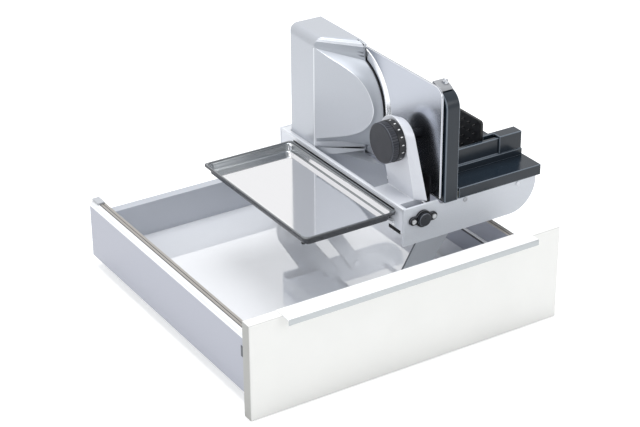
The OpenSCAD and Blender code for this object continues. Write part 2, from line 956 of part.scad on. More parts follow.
// Coin screw that takes the blade off
module blade_screw() {
    color("#3A3E45") difference() {
        bar_x(blade_x + blade_t, blade_y, blade_z, cap_screw_r, cap_screw_h);
        block([blade_x + blade_t + cap_screw_h - coin_slot_d, blade_y - cap_screw_r, blade_z - coin_slot_w / 2],
              [blade_x + blade_t + cap_screw_h + overrun, blade_y + cap_screw_r, blade_z + coin_slot_w / 2]);
    }
}

module switch_block() {
    rear = tower_rear - switch_in - switch_travel - seat_gap;
    color("#4A4D52")
        block([switch_body_left, rear - switch_body_len, tower_top - switch_drop - switch_body_h / 2],
              [back_x, rear, tower_top - switch_drop + switch_body_h / 2]);
}

module switch_button() {
    color("#3A3E45") bar_y(switch_x, tower_rear - switch_in, tower_top - switch_drop, switch_r, switch_in + switch_out);
}

module cable_gland() {
    color("#2B2E33") difference() {
        bar_y(gland_x, tower_rear, gland_z, gland_r, gland_len);
        bar_y(gland_x, tower_rear - overrun, gland_z, gland_bore_r, gland_len + 2 * overrun);
    }
}

// Stop plate and its adjuster

// Outline of the adjuster arm in one plane across the slicer
module arm_section(head, foot_y) {
    translate(head) circle(arm_head_r, $fn = 32);
    translate([foot_y, frame_top]) square([arm_rear_y - foot_y, arm_foot_h]);
}

module knob_arm() {
    color("#D9DCE2") difference() {
        union() {
            hull() {
                slab_x(arm_left, arm_slice) arm_section([arm_left_head_y, arm_left_head_z], arm_left_foot_y);
                slab_x(arm_right - arm_slice, arm_slice) arm_section([arm_right_head_y, arm_right_head_z], arm_right_foot_y);
            }
            bar_x(arm_left - collar_len, knob_y, knob_z, collar_r, collar_len);
            block([frame_x + beam_t, arm_left_foot_y, arm_foot_low], [arm_right, arm_rear_y, frame_top]);
        }
        bar_x(arm_left - collar_len - overrun, knob_y, knob_z, spindle_r + run_gap,
              arm_right - arm_left + collar_len + 2 * overrun);
        for (y = stop_rod_y)
            bar_x(stop_rod_left - slice_max - overrun, y, stop_rod_z, stop_rod_r + run_gap,
                  arm_right - stop_rod_left + slice_max + 2 * overrun);
    }
}

module thickness_knob() {
    rear = knob_x + knob_len;
    color("#45484F") difference() {
        translate([knob_x, knob_y, knob_z]) rotate([0, 90, 0]) rotate_extrude($fn = 96)
            polygon([[0, 0], [knob_r - knob_edge, 0], [knob_r, knob_edge], [knob_r, knob_len - dial_w],
                     [knob_r - dial_sink, knob_len - dial_w], [knob_r - dial_sink, knob_len], [0, knob_len]]);
        bar_x(knob_x + knob_shell, knob_y, knob_z, spindle_r + run_gap, knob_len);
        bar_x(arm_left - collar_len - seat_gap, knob_y, knob_z, collar_r + run_gap,
              rear - arm_left + collar_len + seat_gap + overrun);
    }
}

// Ring with the scale, fixed round the rear of the knob
module dial_ring() {
    rear = knob_x + knob_len;
    color("#2E3238") difference() {
        bar_x(rear - dial_w, knob_y, knob_z, knob_r + dial_ring_t, dial_w);
        bar_x(rear - dial_w - overrun, knob_y, knob_z, knob_r - dial_sink, dial_w + 2 * overrun);
    }
}

// Outline of the stop plate with its one rounded corner
module stop_section() {
    rear = tower_cap_y - stop_back_gap;
    polygon(concat(
        [[frame_y, stop_low], [rear, stop_low], [rear, stop_top]],
        arc_points([frame_y + stop_corner_r, stop_top - stop_corner_r], stop_corner_r, 90, 180, 12)));
}

// Plate with a hollow edge along the blade, bevelled on the side that is seen
module stop_plate() {
    color("#C4C8D0") difference() {
        slab_x(stop_x, stop_t) stop_section();
        translate([stop_x, blade_y, blade_z]) rotate([0, 90, 0])
            cylinder(r1 = blade_r + stop_gap + stop_bevel, r2 = blade_r + stop_gap, h = stop_t, $fn = 128);
        bar_x(stop_x - overrun, blade_y, blade_z, blade_r + stop_gap, stop_t + 2 * overrun, $fn = 128);
    }
}

module stop_bracket() {
    color("#9BA0A8")
        block([stop_x - stop_bracket_t, stop_bracket_y, stop_bracket_low],
              [stop_x, stop_bracket_y + stop_bracket_len, stop_bracket_high]);
}

// Spindle that the knob drives and the two rods that keep the plate square
module stop_slides() {
    spindle_left = knob_x + knob_shell + slice_max + seat_gap;
    color("#B5B8BC") {
        bar_x(spindle_left, knob_y, knob_z, spindle_r, stop_x - spindle_left);
        for (y = stop_rod_y)
            bar_x(stop_rod_left, y, stop_rod_z, stop_rod_r, stop_x - stop_bracket_t - stop_rod_left);
    }
}

// Carriage

module carriage_deck() {
    rear = deck_front + deck_len;
    color("#3C4149") difference() {
        union() {
            block([deck_x, deck_front, deck_top - deck_t], [deck_right, rear, deck_top]);
            block([deck_x, deck_front, skirt_z], [deck_right, deck_front + skirt_t, deck_top - deck_t]);
            block([deck_right - skirt_t, deck_front + skirt_t, skirt_z], [deck_right, rear, deck_top - deck_t]);
        }
        block([deck_x - overrun, deck_front - overrun, skirt_z - overrun],
              [guard_right, guard_rear, deck_top + overrun]);
    }
}

module carriage_glides() {
    color("#D8D8D2") for (x = rod_x, y = glide_y) difference() {
        block([x - glide_half, y, glide_low], [x + glide_half, y + glide_len, deck_top - deck_t]);
        bar_y(x, y - overrun, rod_z, rod_r + run_gap, glide_len + 2 * overrun);
    }
}

module push_wall() {
    color("#454A52") {
        block([guard_right, wall_foot_y, deck_top], [wall_right, wall_foot_y + wall_foot_len, wall_ledge]);
        block([guard_right, wall_y, wall_ledge], [wall_right, wall_y + wall_t, wall_top]);
    }
}

// Tall slab beside the blade, with a rounded upper front corner
module hand_guard() {
    color("#454A52") difference() {
        slab_x(deck_x, guard_right - deck_x) polygon(concat(
            [[guard_front, skirt_z], [guard_rear, skirt_z], [guard_rear, guard_top]],
            arc_points([guard_front + guard_corner_r, guard_top - guard_corner_r], guard_corner_r, 90, 180, 12)));
        translate([guard_right - guard_side_r, guard_front + guard_side_r, skirt_z - overrun])
            difference() {
                translate([0, -guard_side_r - overrun, 0])
                    cube([guard_side_r + overrun, guard_side_r + overrun, guard_top - skirt_z + 2 * overrun]);
                cylinder(r = guard_side_r, h = guard_top - skirt_z + 2 * overrun);
            }
    }
    color("#8E9298") translate([(deck_x + guard_right) / 2, (guard_front + guard_rear) / 2 + guard_screw_r,
                                guard_top - overrun])
        cylinder(r = guard_screw_r, h = guard_screw_h + overrun);
}

// Saddle that slides along the push wall, with a bridge to the press plate
module remnant_holder() {
    front = wall_foot_y;
    back = wall_y + wall_t + seat_gap;
    over = wall_top + seat_gap;
    color("#3C4149") {
        block([holder_left, front, wall_ledge + seat_gap], [holder_right, wall_y - seat_gap, over]);
        block([holder_left, front, over], [holder_right, holder_rear, over + holder_skin]);
        block([holder_left, wall_foot_y + wall_foot_len + seat_gap, holder_rear_low],
              [holder_right, holder_rear, over]);
        block([holder_bridge_left, wall_foot_y + wall_foot_len + seat_gap, holder_rear_low],
              [holder_left, holder_rear, over + holder_skin]);
    }
}

module press_plate() {
    press_y = wall_foot_y + wall_foot_len + seat_gap;
    color("#1E2023") {
        slab_x(press_x, press_t) polygon(concat(
            [[press_y, press_low], [press_y + press_len, press_low]],
            arc_points([press_y + press_len - press_corner_r, press_top - press_corner_r], press_corner_r, 0, 90, 6),
            arc_points([press_y + press_corner_r, press_top - press_corner_r], press_corner_r, 90, 180, 6)));
        for (i = [0 : tooth_columns - 1], j = [0 : tooth_rows - 1])
            translate([press_x, tooth_first_y + i * tooth_pitch, tooth_first_z + j * tooth_pitch])
                rotate([0, -90, 0]) cylinder(r1 = tooth_r, r2 = tooth_tip_r, h = tooth_len, $fn = 24);
    }
}

// Tray

// Rounded rectangle of the tray, drawn in by d all round
module tray_outline(d) {
    r = tray_corner_r - d;
    x0 = tray_right - tray_w + tray_corner_r;
    x1 = tray_right - tray_corner_r;
    y0 = tray_y + tray_corner_r;
    y1 = tray_y + tray_len - tray_corner_r;
    polygon(concat(
        arc_points([x1, y1], r, 0, 90, 8), arc_points([x0, y1], r, 90, 180, 8),
        arc_points([x0, y0], r, 180, 270, 8), arc_points([x1, y0], r, 270, 360, 8)));
}

module slice_tray() {
    color("#C9CBCC") difference() {
        union() {
            translate([0, 0, tray_top - tray_rim_h]) linear_extrude(tray_rim_h) tray_outline(0);
            translate([0, 0, tray_top - tray_h]) linear_extrude(tray_h) tray_outline(tray_rim);
        }
        translate([0, 0, tray_top - tray_h + tray_skin]) linear_extrude(tray_h)
            tray_outline(tray_rim + tray_skin);
        difference() {
            translate([0, 0, tray_top - tray_rim_h - overrun])
                linear_extrude(tray_rim_h - tray_skin + overrun) tray_outline(tray_skin);
            translate([0, 0, tray_top - tray_h]) linear_extrude(tray_h) tray_outline(tray_rim);
        }
    }
}

// Dark hooks that stand on the frame's ledge, and the nibs under the free corner
module tray_hooks() {
    ledge = tray_ledge_z + tray_ledge_t + seat_gap;
    color("#26282B") {
        for (y = [tray_y + tray_corner_r + hook_inset, tray_y + tray_len - tray_corner_r - hook_inset - hook_len])
            block([frame_x - seat_gap - hook_foot, y, ledge], [frame_x - seat_gap, y + hook_len, tray_top - tray_h]);
        for (p = nib_places) translate([p[0], p[1] + tray_corner_r, tray_top - tray_h - nib_h])
            cylinder(r = nib_r, h = nib_h);
    }
}

cabinet_rails();
middle_rails();
drawer_runners();
side_left();
side_right();
side_caps();
side_clips();
bottom_panel();
back_panel();
front_panel();
front_brackets();
front_screws();
front_handle();
floor_brackets();
floor_bolts();
lift_axles();
lift_arm_front();
lift_arm_rear();
guide_arm();
frame_front();
frame_rear();
frame_beam();
frame_sill();
arm_pins();
guide_rods();
rod_screws();
lock_flange();
lock_screws();
lock_button();
motor_housing();
back_plate();
blade_rim();
housing_screws();
motor();
motor_plate();
motor_worm();
hub_bush();
blade_hub();
worm_wheel();
blade();
blade_screw();
switch_block();
switch_button();
cable_gland();
knob_arm();
thickness_knob();
dial_ring();
stop_plate();
stop_bracket();
stop_slides();
carriage_deck();
carriage_glides();
push_wall();
hand_guard();
remnant_holder();
press_plate();
slice_tray();
tray_hooks();
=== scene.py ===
"""Looks of a food slicer that stands in an open kitchen drawer, built round its fixed CAD frame."""

import functools
from math import atan2, cos, pi, radians, sin, sqrt, tau

import bpy
from mathutils import Matrix, Vector


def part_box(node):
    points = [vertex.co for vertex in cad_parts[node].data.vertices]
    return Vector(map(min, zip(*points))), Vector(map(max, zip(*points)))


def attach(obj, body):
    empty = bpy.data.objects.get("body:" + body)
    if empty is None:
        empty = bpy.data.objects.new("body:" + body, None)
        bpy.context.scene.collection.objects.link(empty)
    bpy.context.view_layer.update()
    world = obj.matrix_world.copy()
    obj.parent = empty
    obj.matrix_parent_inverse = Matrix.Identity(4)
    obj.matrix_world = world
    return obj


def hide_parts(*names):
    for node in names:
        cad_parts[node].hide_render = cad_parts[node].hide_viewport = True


bl_info = {
    "name": "Drawer food slicer",
    "version": (1, 0, 0),
    "blender": (4, 5, 0),
    "location": "View3D > Sidebar > Slicer",
    "description": "Dresses the frame of a food slicer in a kitchen drawer",
    "category": "Object",
}

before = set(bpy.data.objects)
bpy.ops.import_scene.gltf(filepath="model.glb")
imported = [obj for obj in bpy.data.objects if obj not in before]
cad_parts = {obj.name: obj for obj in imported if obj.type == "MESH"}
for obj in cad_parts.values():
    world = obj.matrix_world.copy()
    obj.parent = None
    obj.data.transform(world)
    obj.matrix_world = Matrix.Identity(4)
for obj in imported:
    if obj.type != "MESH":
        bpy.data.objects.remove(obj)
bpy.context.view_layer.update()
MM = 0.001
# Axes of the blade and of the knob, in mm
BLADE_Y, BLADE_Z = 274.1, 262.5
KNOB_Y, KNOB_Z = 133.3, 259.9
OUTWARD = (bpy.ops.mesh.normals_make_consistent, {"inside": False})


# Sizes and colours that a user would change

class DrawerLooks(bpy.types.PropertyGroup):
    """Finishes of the drawer."""
    front: bpy.props.StringProperty(name="Front", description="sRGB colour of the lacquered front", default="#F9F9F6")
    side: bpy.props.StringProperty(name="Side", description="sRGB colour of the lacquered sides", default="#A2A5B1")
    floor: bpy.props.StringProperty(name="Floor", description="sRGB colour of the glossy floor", default="#F2F4F8")
    back: bpy.props.StringProperty(name="Back", description="sRGB colour of the back panel", default="#BABEC6")
    front_edge: bpy.props.FloatProperty(name="Front edge", description="Radius of the front's edges", default=0.001,
                                        min=0.0002, max=0.003, precision=4, unit="LENGTH", subtype="DISTANCE")


class SlicerLooks(bpy.types.PropertyGroup):
    """Finishes of the slicer."""
    casting: bpy.props.StringProperty(name="Casting", description="sRGB colour of the silver lacquer", default="#B5B9C0")
    plate: bpy.props.StringProperty(name="Stop plate", description="sRGB colour of the anodised plate", default="#ABAFB8")
    carriage: bpy.props.StringProperty(name="Carriage", description="sRGB colour of the carriage plastic", default="#1C2630")
    knob: bpy.props.StringProperty(name="Knob", description="sRGB colour of the knob", default="#181C27")
    tick_step: bpy.props.FloatProperty(name="Tick step", description="Angle between the dial's ticks", default=radians(22),
                                       min=radians(5), max=radians(45), unit="ROTATION", subtype="ANGLE")
    edge: bpy.props.FloatProperty(name="Casting edge", description="Radius of the castings' edges", default=0.0009,
                                  min=0.0002, max=0.002, precision=4, unit="LENGTH", subtype="DISTANCE")


# Modelling helpers, all sizes in mm

def only(piece):
    """Selects one piece alone."""
    bpy.ops.object.select_all(action="DESELECT")
    piece.select_set(True)
    bpy.context.view_layer.objects.active = piece


def born(name):
    """Names the piece that an operator just added and puts its place into its mesh."""
    piece = bpy.context.object
    piece.name = piece.data.name = name
    only(piece)
    bpy.ops.object.transform_apply(location=True, rotation=True, scale=True)
    return piece


def block(name, low, high):
    """Box between two corners."""
    bpy.ops.mesh.primitive_cube_add(size=1, location=[(a + b) / 2 * MM for a, b in zip(low, high)],
                                    scale=[(b - a) * MM for a, b in zip(low, high)])
    return born(name)


def edited(piece, *steps):
    """Runs mesh operators, given as (operator, settings), each on the whole piece."""
    only(piece)
    bpy.ops.object.mode_set(mode="EDIT")
    for operator, settings in steps:
        bpy.ops.mesh.select_all(action="SELECT")
        operator(**settings)
    bpy.ops.object.mode_set(mode="OBJECT")
    return piece


def at(axis, along, u, v):
    """Point in metres from a place along an axis and its two other coordinates in mm."""
    order = {"X": (along, u, v), "Y": (u, along, v), "Z": (u, v, along)}[axis]
    return Vector(order) * MM


def plate(name, axis, start, end, outline):
    """Flat plate of any outline, pulled along an axis."""
    bpy.ops.mesh.primitive_circle_add(vertices=len(outline), fill_type="NGON")
    piece = born(name)
    for vert, (u, v) in zip(piece.data.vertices, outline):
        vert.co = at(axis, start, u, v)
    pull = {"value": at(axis, end - start, 0, 0)}
    return edited(piece, (bpy.ops.mesh.extrude_region_move, {"TRANSFORM_OT_translate": pull}), OUTWARD)


def turned(name, axis, u, v, profile, steps=96):
    """Solid of revolution about an axis; the profile is a closed loop of (place along the axis, radius)."""
    bpy.ops.mesh.primitive_circle_add(vertices=len(profile), fill_type="NOTHING")
    piece = born(name)
    for vert, (along, radius) in zip(piece.data.vertices, profile):
        vert.co = at(axis, along, u, v + radius)
    turn = {"steps": steps, "angle": tau, "center": at(axis, 0, u, v), "axis": at(axis, 1, 0, 0).normalized()}
    return edited(piece, (bpy.ops.mesh.spin, turn), (bpy.ops.mesh.remove_doubles, {"threshold": 1e-6}), OUTWARD)


def modified(piece, kind, **settings):
    """Adds a modifier and applies it."""
    only(piece)
    bpy.ops.object.modifier_add(type=kind)
    modifier = piece.modifiers[-1]
    for name, value in settings.items():
        setattr(modifier, name, value)
    bpy.ops.object.modifier_apply(modifier=modifier.name)
    return piece


def rounded(piece, width, segments=3, angle=40):
    """Rounds every edge that is sharper than an angle; the new faces take the piece's second material."""
    piece.data.materials.clear()
    piece.data.materials.append(None)
    piece.data.materials.append(None)
    return modified(piece, "BEVEL", width=width * MM, segments=segments, limit_method="ANGLE", material=1,
                    angle_limit=radians(angle))


def marked(piece, index, test):
    """Gives the faces whose centre (mm) and normal pass a test another material slot."""
    while len(piece.data.materials) <= index:
        piece.data.materials.append(None)
    for face in piece.data.polygons:
        if test(face.center / MM, face.normal):
            face.material_index = index
    return piece


def joined(name, pieces):
    """Makes several pieces one."""
    only(pieces[0])
    for piece in pieces[1:]:
        piece.select_set(True)
    bpy.ops.object.join()
    return born(name)


def linked(name, mesh):
    """New object of a mesh in the scene."""
    piece = bpy.data.objects.new(name, mesh)
    bpy.context.scene.collection.objects.link(piece)
    return piece


def taken(name, source):
    """Merged copy of a CAD node's mesh, with its flat faces whole, to be finished further."""
    piece = linked(name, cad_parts[source].data.copy())
    piece.data.materials.clear()
    return edited(piece, (bpy.ops.mesh.remove_doubles, {"threshold": 2e-6}),
                  (bpy.ops.mesh.dissolve_limited, {"angle_limit": radians(0.5)}))


def vectors(*places):
    """Places as vectors."""
    return [Vector(place) for place in places]


class Patches:
    """A free form built patch by patch from points in mm, where no primitive comes near it; each face has a finish."""

    def __init__(self):
        self.points, self.faces, self.tags = [], [], []

    def fan(self, outline, tag=0):
        """One face with the given outline."""
        first = len(self.points)
        self.points += outline
        self.faces.append(tuple(range(first, first + len(outline))))
        self.tags.append(tag)

    def strip(self, a, b, tag=0):
        """Faces between two lines of equally many points."""
        first, n = len(self.points), len(a)
        self.points += a + b
        for i in range(first, first + n - 1):
            self.faces.append((i, i + 1, i + n + 1, i + n))
            self.tags.append(tag)

    def tube(self, rings, tags):
        """Closed form through rings of equally many points, filled at both ends."""
        for a, b, tag in zip(rings, rings[1:], tags):
            self.strip(a + a[:1], b + b[:1], tag)
        self.fan(rings[0])
        self.fan(rings[-1])

    def skin(self, name, merge=0.02):
        """The piece, with points closer than the merge distance made one."""
        mesh = bpy.data.meshes.new(name)
        mesh.from_pydata([Vector(p) * MM for p in self.points], [], self.faces)
        for _ in range(max(self.tags) + 1):
            mesh.materials.append(None)
        for face, tag in zip(mesh.polygons, self.tags):
            face.material_index = tag
        return edited(linked(name, mesh), (bpy.ops.mesh.remove_doubles, {"threshold": merge * MM}),
                      (bpy.ops.mesh.dissolve_degenerate, {"threshold": 1e-6}), OUTWARD)


def arc(cu, cv, radius, start, end, count):
    """Points of an arc, angles in degrees."""
    angles = [radians(start + (end - start) * i / count) for i in range(count + 1)]
    return [(cu + radius * cos(a), cv + radius * sin(a)) for a in angles]


def rounded_box(u0, v0, u1, v1, radius, count):
    """Outline of a rectangle with round corners."""
    u0, v0, u1, v1 = u0 + radius, v0 + radius, u1 - radius, v1 - radius
    turns = ((u1, v0, 0), (u1, v1, 90), (u0, v1, 180), (u0, v0, 270))
    return [p for u, v, angle in turns for p in arc(u, v, radius, angle - 90, angle, count)]


def corners_of(name):
    """Both corners of a CAD node's box, in mm."""
    return [[c / MM for c in corner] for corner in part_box(name)]


def done(piece, material, body, *nodes, slot=None, angle=30, edge=None, third=None):
    """Finishes a piece: materials of its face slots, smooth shading, the body it rides on, the CAD nodes it stands for."""
    only(piece)
    slots = piece.data.materials
    while len(slots) < (3 if third else 2 if edge else 1):
        slots.append(None)
    for i in range(len(slots)):
        slots[i] = (material, edge or material, third or material)[i]
    bpy.ops.object.shade_smooth_by_angle(angle=radians(angle))
    modified(piece, "WEIGHTED_NORMAL", keep_sharp=True, weight=80)
    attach(piece, body)
    if nodes:
        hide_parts(*nodes)
    return piece


def copied(name, source, width, material, body, slot, segments=2, edge=None):
    """Finished piece that is a rounded copy of a CAD node and stands for it."""
    return done(rounded(taken(name, source), width, segments), material, body, source, slot=slot, edge=edge)


def dress(material, *nodes):
    """Gives shown CAD nodes a material."""
    for node in nodes:
        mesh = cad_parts[node].data
        mesh.materials.clear()
        mesh.materials.append(material)


# Materials

def linear(code, alpha=1.0):
    """sRGB hex colour as linear RGBA."""
    parts = [int(code[i:i + 2], 16) / 255 for i in (1, 3, 5)]
    return [p / 12.92 if p <= 0.04045 else ((p + 0.055) / 1.055) ** 2.4 for p in parts] + [alpha]


def node(owner, kind, inputs=None, **settings):
    """Adds a node to a material or world, with its settings and links."""
    new = owner.node_tree.nodes.new("ShaderNode" + kind)
    for name, value in settings.items():
        setattr(new, name, value)
    for socket, value in (inputs or {}).items():
        if isinstance(value, bpy.types.NodeSocket):
            owner.node_tree.links.new(value, new.inputs[socket])
        else:
            new.inputs[socket].default_value = value
    return new


def output_of(owner, kind, inputs=None, **settings):
    """First output of a new node."""
    return node(owner, kind, inputs, **settings).outputs[0]


class Finish:
    """A material in the making: its shader with plain values, and Object coordinates."""

    def __init__(self, name, colour, **sockets):
        self.material = bpy.data.materials.new(name)
        self.material.use_nodes = True
        self.shader = self.material.node_tree.nodes["Principled BSDF"]
        self.shader.inputs["Base Color"].default_value = self.material.diffuse_color = linear(colour)
        for socket, value in sockets.items():
            self.shader.inputs[socket.replace("_", " ")].default_value = value
        self.place = node(self.material, "TexCoord").outputs["Object"]

    def feed(self, output, socket):
        """Links an output to one of the shader's sockets."""
        self.material.node_tree.links.new(output, self.shader.inputs[socket])

    def noise(self, size, detail=2, stretch=(1, 1, 1)):
        """Noise with spots of a size in mm."""
        moved = output_of(self.material, "Mapping", {"Vector": self.place, "Scale": [s / (size * MM) for s in stretch]})
        return output_of(self.material, "TexNoise", {"Vector": moved, "Scale": 1, "Detail": detail})

    def vary(self, socket, low, high, size, detail=3, stretch=(1, 1, 1)):
        """Lets a value or colour wander between two limits over spots of a size in mm."""
        ramp = node(self.material, "ValToRGB", {"Fac": self.noise(size, detail, stretch)})
        for element, place, value in zip(ramp.color_ramp.elements, (0.3, 0.7), (low, high)):
            element.position = place
            element.color = value if isinstance(value, list) else (value, value, value, 1)
        self.feed(ramp.outputs["Color"], socket)

    def emboss(self, height, depth):
        """Relief of a height pattern, its depth in mm."""
        bump = node(self.material, "Bump", {"Height": height, "Distance": depth * MM})
        self.feed(bump.outputs["Normal"], "Normal")


def once(maker):
    """Lets a maker of materials return the one of that name, if it was made before."""
    @functools.wraps(maker)
    def found_or_made(name, *values, **settings):
        return bpy.data.materials.get(name) or maker(name, *values, **settings)
    return found_or_made


def shade(code, factor):
    """Linear colour of a hex code, lighter or darker by a factor."""
    return [min(c * factor, 1.0) for c in linear(code)[:3]] + [1.0]


@once
def lacquer(name, colour, metallic=0.0, roughness=0.3, flake=0.0, peel=3.0, depth=0.004, coat=0.3):
    """Sprayed lacquer: faint orange peel a few mm wide, and metal flake where it is a silver one."""
    finish = Finish(name, colour, Metallic=metallic, Roughness=roughness, Coat_Weight=coat, Coat_Roughness=0.12)
    if flake:
        finish.vary("Base Color", shade(colour, 1 - flake), shade(colour, 1 + flake), 0.9, detail=1)
    else:
        finish.vary("Base Color", shade(colour, 0.985), shade(colour, 1.01), 60)
    finish.emboss(finish.noise(peel), depth)
    return finish.material


@once
def moulded(name, colour, roughness=0.4, grain=0.6, depth=0.02, sheen=0.5):
    """Moulded plastic: a fine spark-eroded grain that scatters the highlight, a little uneven gloss."""
    finish = Finish(name, colour, Roughness=roughness, IOR=1.5, Specular_IOR_Level=sheen)
    finish.vary("Roughness", roughness * 0.88, min(roughness * 1.12, 1), 14)
    finish.emboss(finish.noise(grain), depth)
    return finish.material


@once
def drawn(name, colour, roughness=0.3, line=0.25, along="X", depth=0.002, tint=0.05, anisotropic=0.4):
    """Brushed, drawn or rolled metal: lines along one axis, drawn coarser than real so that they show."""
    finish = Finish(name, colour, Metallic=1.0, Roughness=roughness, Anisotropic=anisotropic)
    stretch = [0.01 if a == along else 1 for a in "XYZ"]
    finish.vary("Base Color", shade(colour, 1 - tint), shade(colour, 1 + tint), line, stretch=stretch)
    finish.emboss(finish.noise(line, stretch=stretch), depth)
    return finish.material


@once
def plated(name, colour, roughness=0.3, spangle=5.0):
    """Zinc plated steel: clouded spangle of slightly different gloss."""
    finish = Finish(name, colour, Metallic=1.0, Roughness=roughness)
    finish.vary("Roughness", roughness * 0.8, roughness * 1.25, spangle, detail=4)
    finish.vary("Base Color", shade(colour, 0.93), shade(colour, 1.05), spangle * 2)
    return finish.material


@once
def ground(name, colour, roughness, ring=0.5, depth=0.001):
    """Steel ground on a turning wheel: fine rings round the blade's axis that draw out the highlights."""
    finish = Finish(name, colour, Metallic=1.0, Roughness=roughness)
    place = {"Vector": finish.place, "Location": (0, -BLADE_Y * MM, -BLADE_Z * MM)}
    # The wave texture repeats about 6.3 times per unit
    wave = {"Vector": output_of(finish.material, "Mapping", place), "Scale": 1 / (6.3 * ring * MM)}
    rings = node(finish.material, "TexWave", wave | {"Distortion": 2, "Detail": 2}, wave_type="RINGS", rings_direction="X")
    finish.emboss(rings.outputs["Fac"], depth)
    finish.vary("Roughness", roughness * 0.8, roughness * 1.3, 12)
    return finish.material


def silver(name, colour, metallic, roughness=0.34, flake=0.03, depth=0.003, coat=0.15):
    """The slicer's silver metallic lacquer, with a finer orange peel than the drawer's."""
    return lacquer(name, colour, metallic, roughness, flake, 2.5, depth, coat)


def silver_casting():
    """Die-cast aluminium under a silver metallic lacquer: soft satin highlight, fine flake."""
    return silver("silver_lacquered_casting", bpy.context.scene.slicer_looks.casting, 0.55, 0.36, depth=0.004)


def casting_edge_highlight():
    """The same lacquer on rounded edges, painted lighter and glossier as a highlight."""
    return silver("silver_edge_highlight", "#E3E6EB", 0.3, 0.3, 0.01, 0.002, 0.3)


def zinc_rail():
    """Zinc plated sheet steel of the rails and brackets."""
    return plated("zinc_plated_rail", "#A9ADB2", 0.3, 5)


def natural_nylon():
    """Undyed nylon of the worm wheel and the glide blocks."""
    return moulded("natural_nylon", "#E0DCC8", 0.45, 0.8, 0.01)


def black_plastic():
    """Glass-filled nylon of small fittings: near black and dull."""
    return moulded("black_nylon", "#131417", 0.4, 0.5, 0.01, sheen=0.35)


def bright_steel():
    """Turned and zinc plated steel of rods, pins and screws."""
    return plated("turned_steel", "#B6B9BE", 0.24, 3.0)


# Drawer

class SLICER_OT_front(bpy.types.Operator):
    """White lacquered front with its handle strip"""
    bl_idname = "slicer.front"
    bl_label = "Front and handle"

    def execute(self, context):
        looks = context.scene.drawer_looks
        # White gloss lacquer, greyer on the rounded edges and grey on the cut ends, both as painted shade
        gloss = lacquer("white_gloss_lacquer", looks.front, roughness=0.16, peel=6, depth=0.003, coat=0.6)
        painted_edge_tone = lacquer("front_edge_painted_shade", "#DADAD8", roughness=0.25, peel=4, depth=0.002)
        end_shade = lacquer("grey_end_painted_shade", "#A3A39F", roughness=0.35, peel=4, depth=0.002, coat=0.2)
        panel = rounded(block("front_slab", *corners_of("front_panel")), looks.front_edge / MM, 3)
        marked(panel, 2, lambda c, n: abs(n.x) > 0.8)
        done(panel, gloss, "drawer", "front_panel", slot="front_white", angle=40, edge=painted_edge_tone, third=end_shade)
        # Anodised strip in two painted tones: near white from above as painted light, its lip a blue-grey painted shade
        top = lacquer("anodised_strip_painted_light", "#F4F5F6", metallic=0.15, roughness=0.35, peel=1.5, depth=0.001, coat=0)
        lip = drawn("anodised_lip_painted_shade", "#ABAFB1", 0.4, 0.3, depth=0.001)
        (x0, y0, z0), (x1, y1, z1) = corners_of("front_handle")
        sheet, bend = 1.6, 2.2
        outline = ([(y1, z1 - sheet), (y1, z1)] + arc(y0 + bend, z1 - bend, bend, 90, 180, 6) + [(y0, z0), (y0 + sheet, z0)]
                   + arc(y0 + bend, z1 - bend, bend - sheet, 180, 90, 4))
        handle = rounded(plate("handle_strip", "X", x0, x1, outline), 0.35, 2, 50)
        # The front and lower faces take the lip's painted shade
        marked(handle, 2, lambda c, n: n.y < -0.6 or c.z < z1 - 2.4)
        done(handle, top, "drawer", "front_handle", slot="anodised", third=lip)
        return {"FINISHED"}


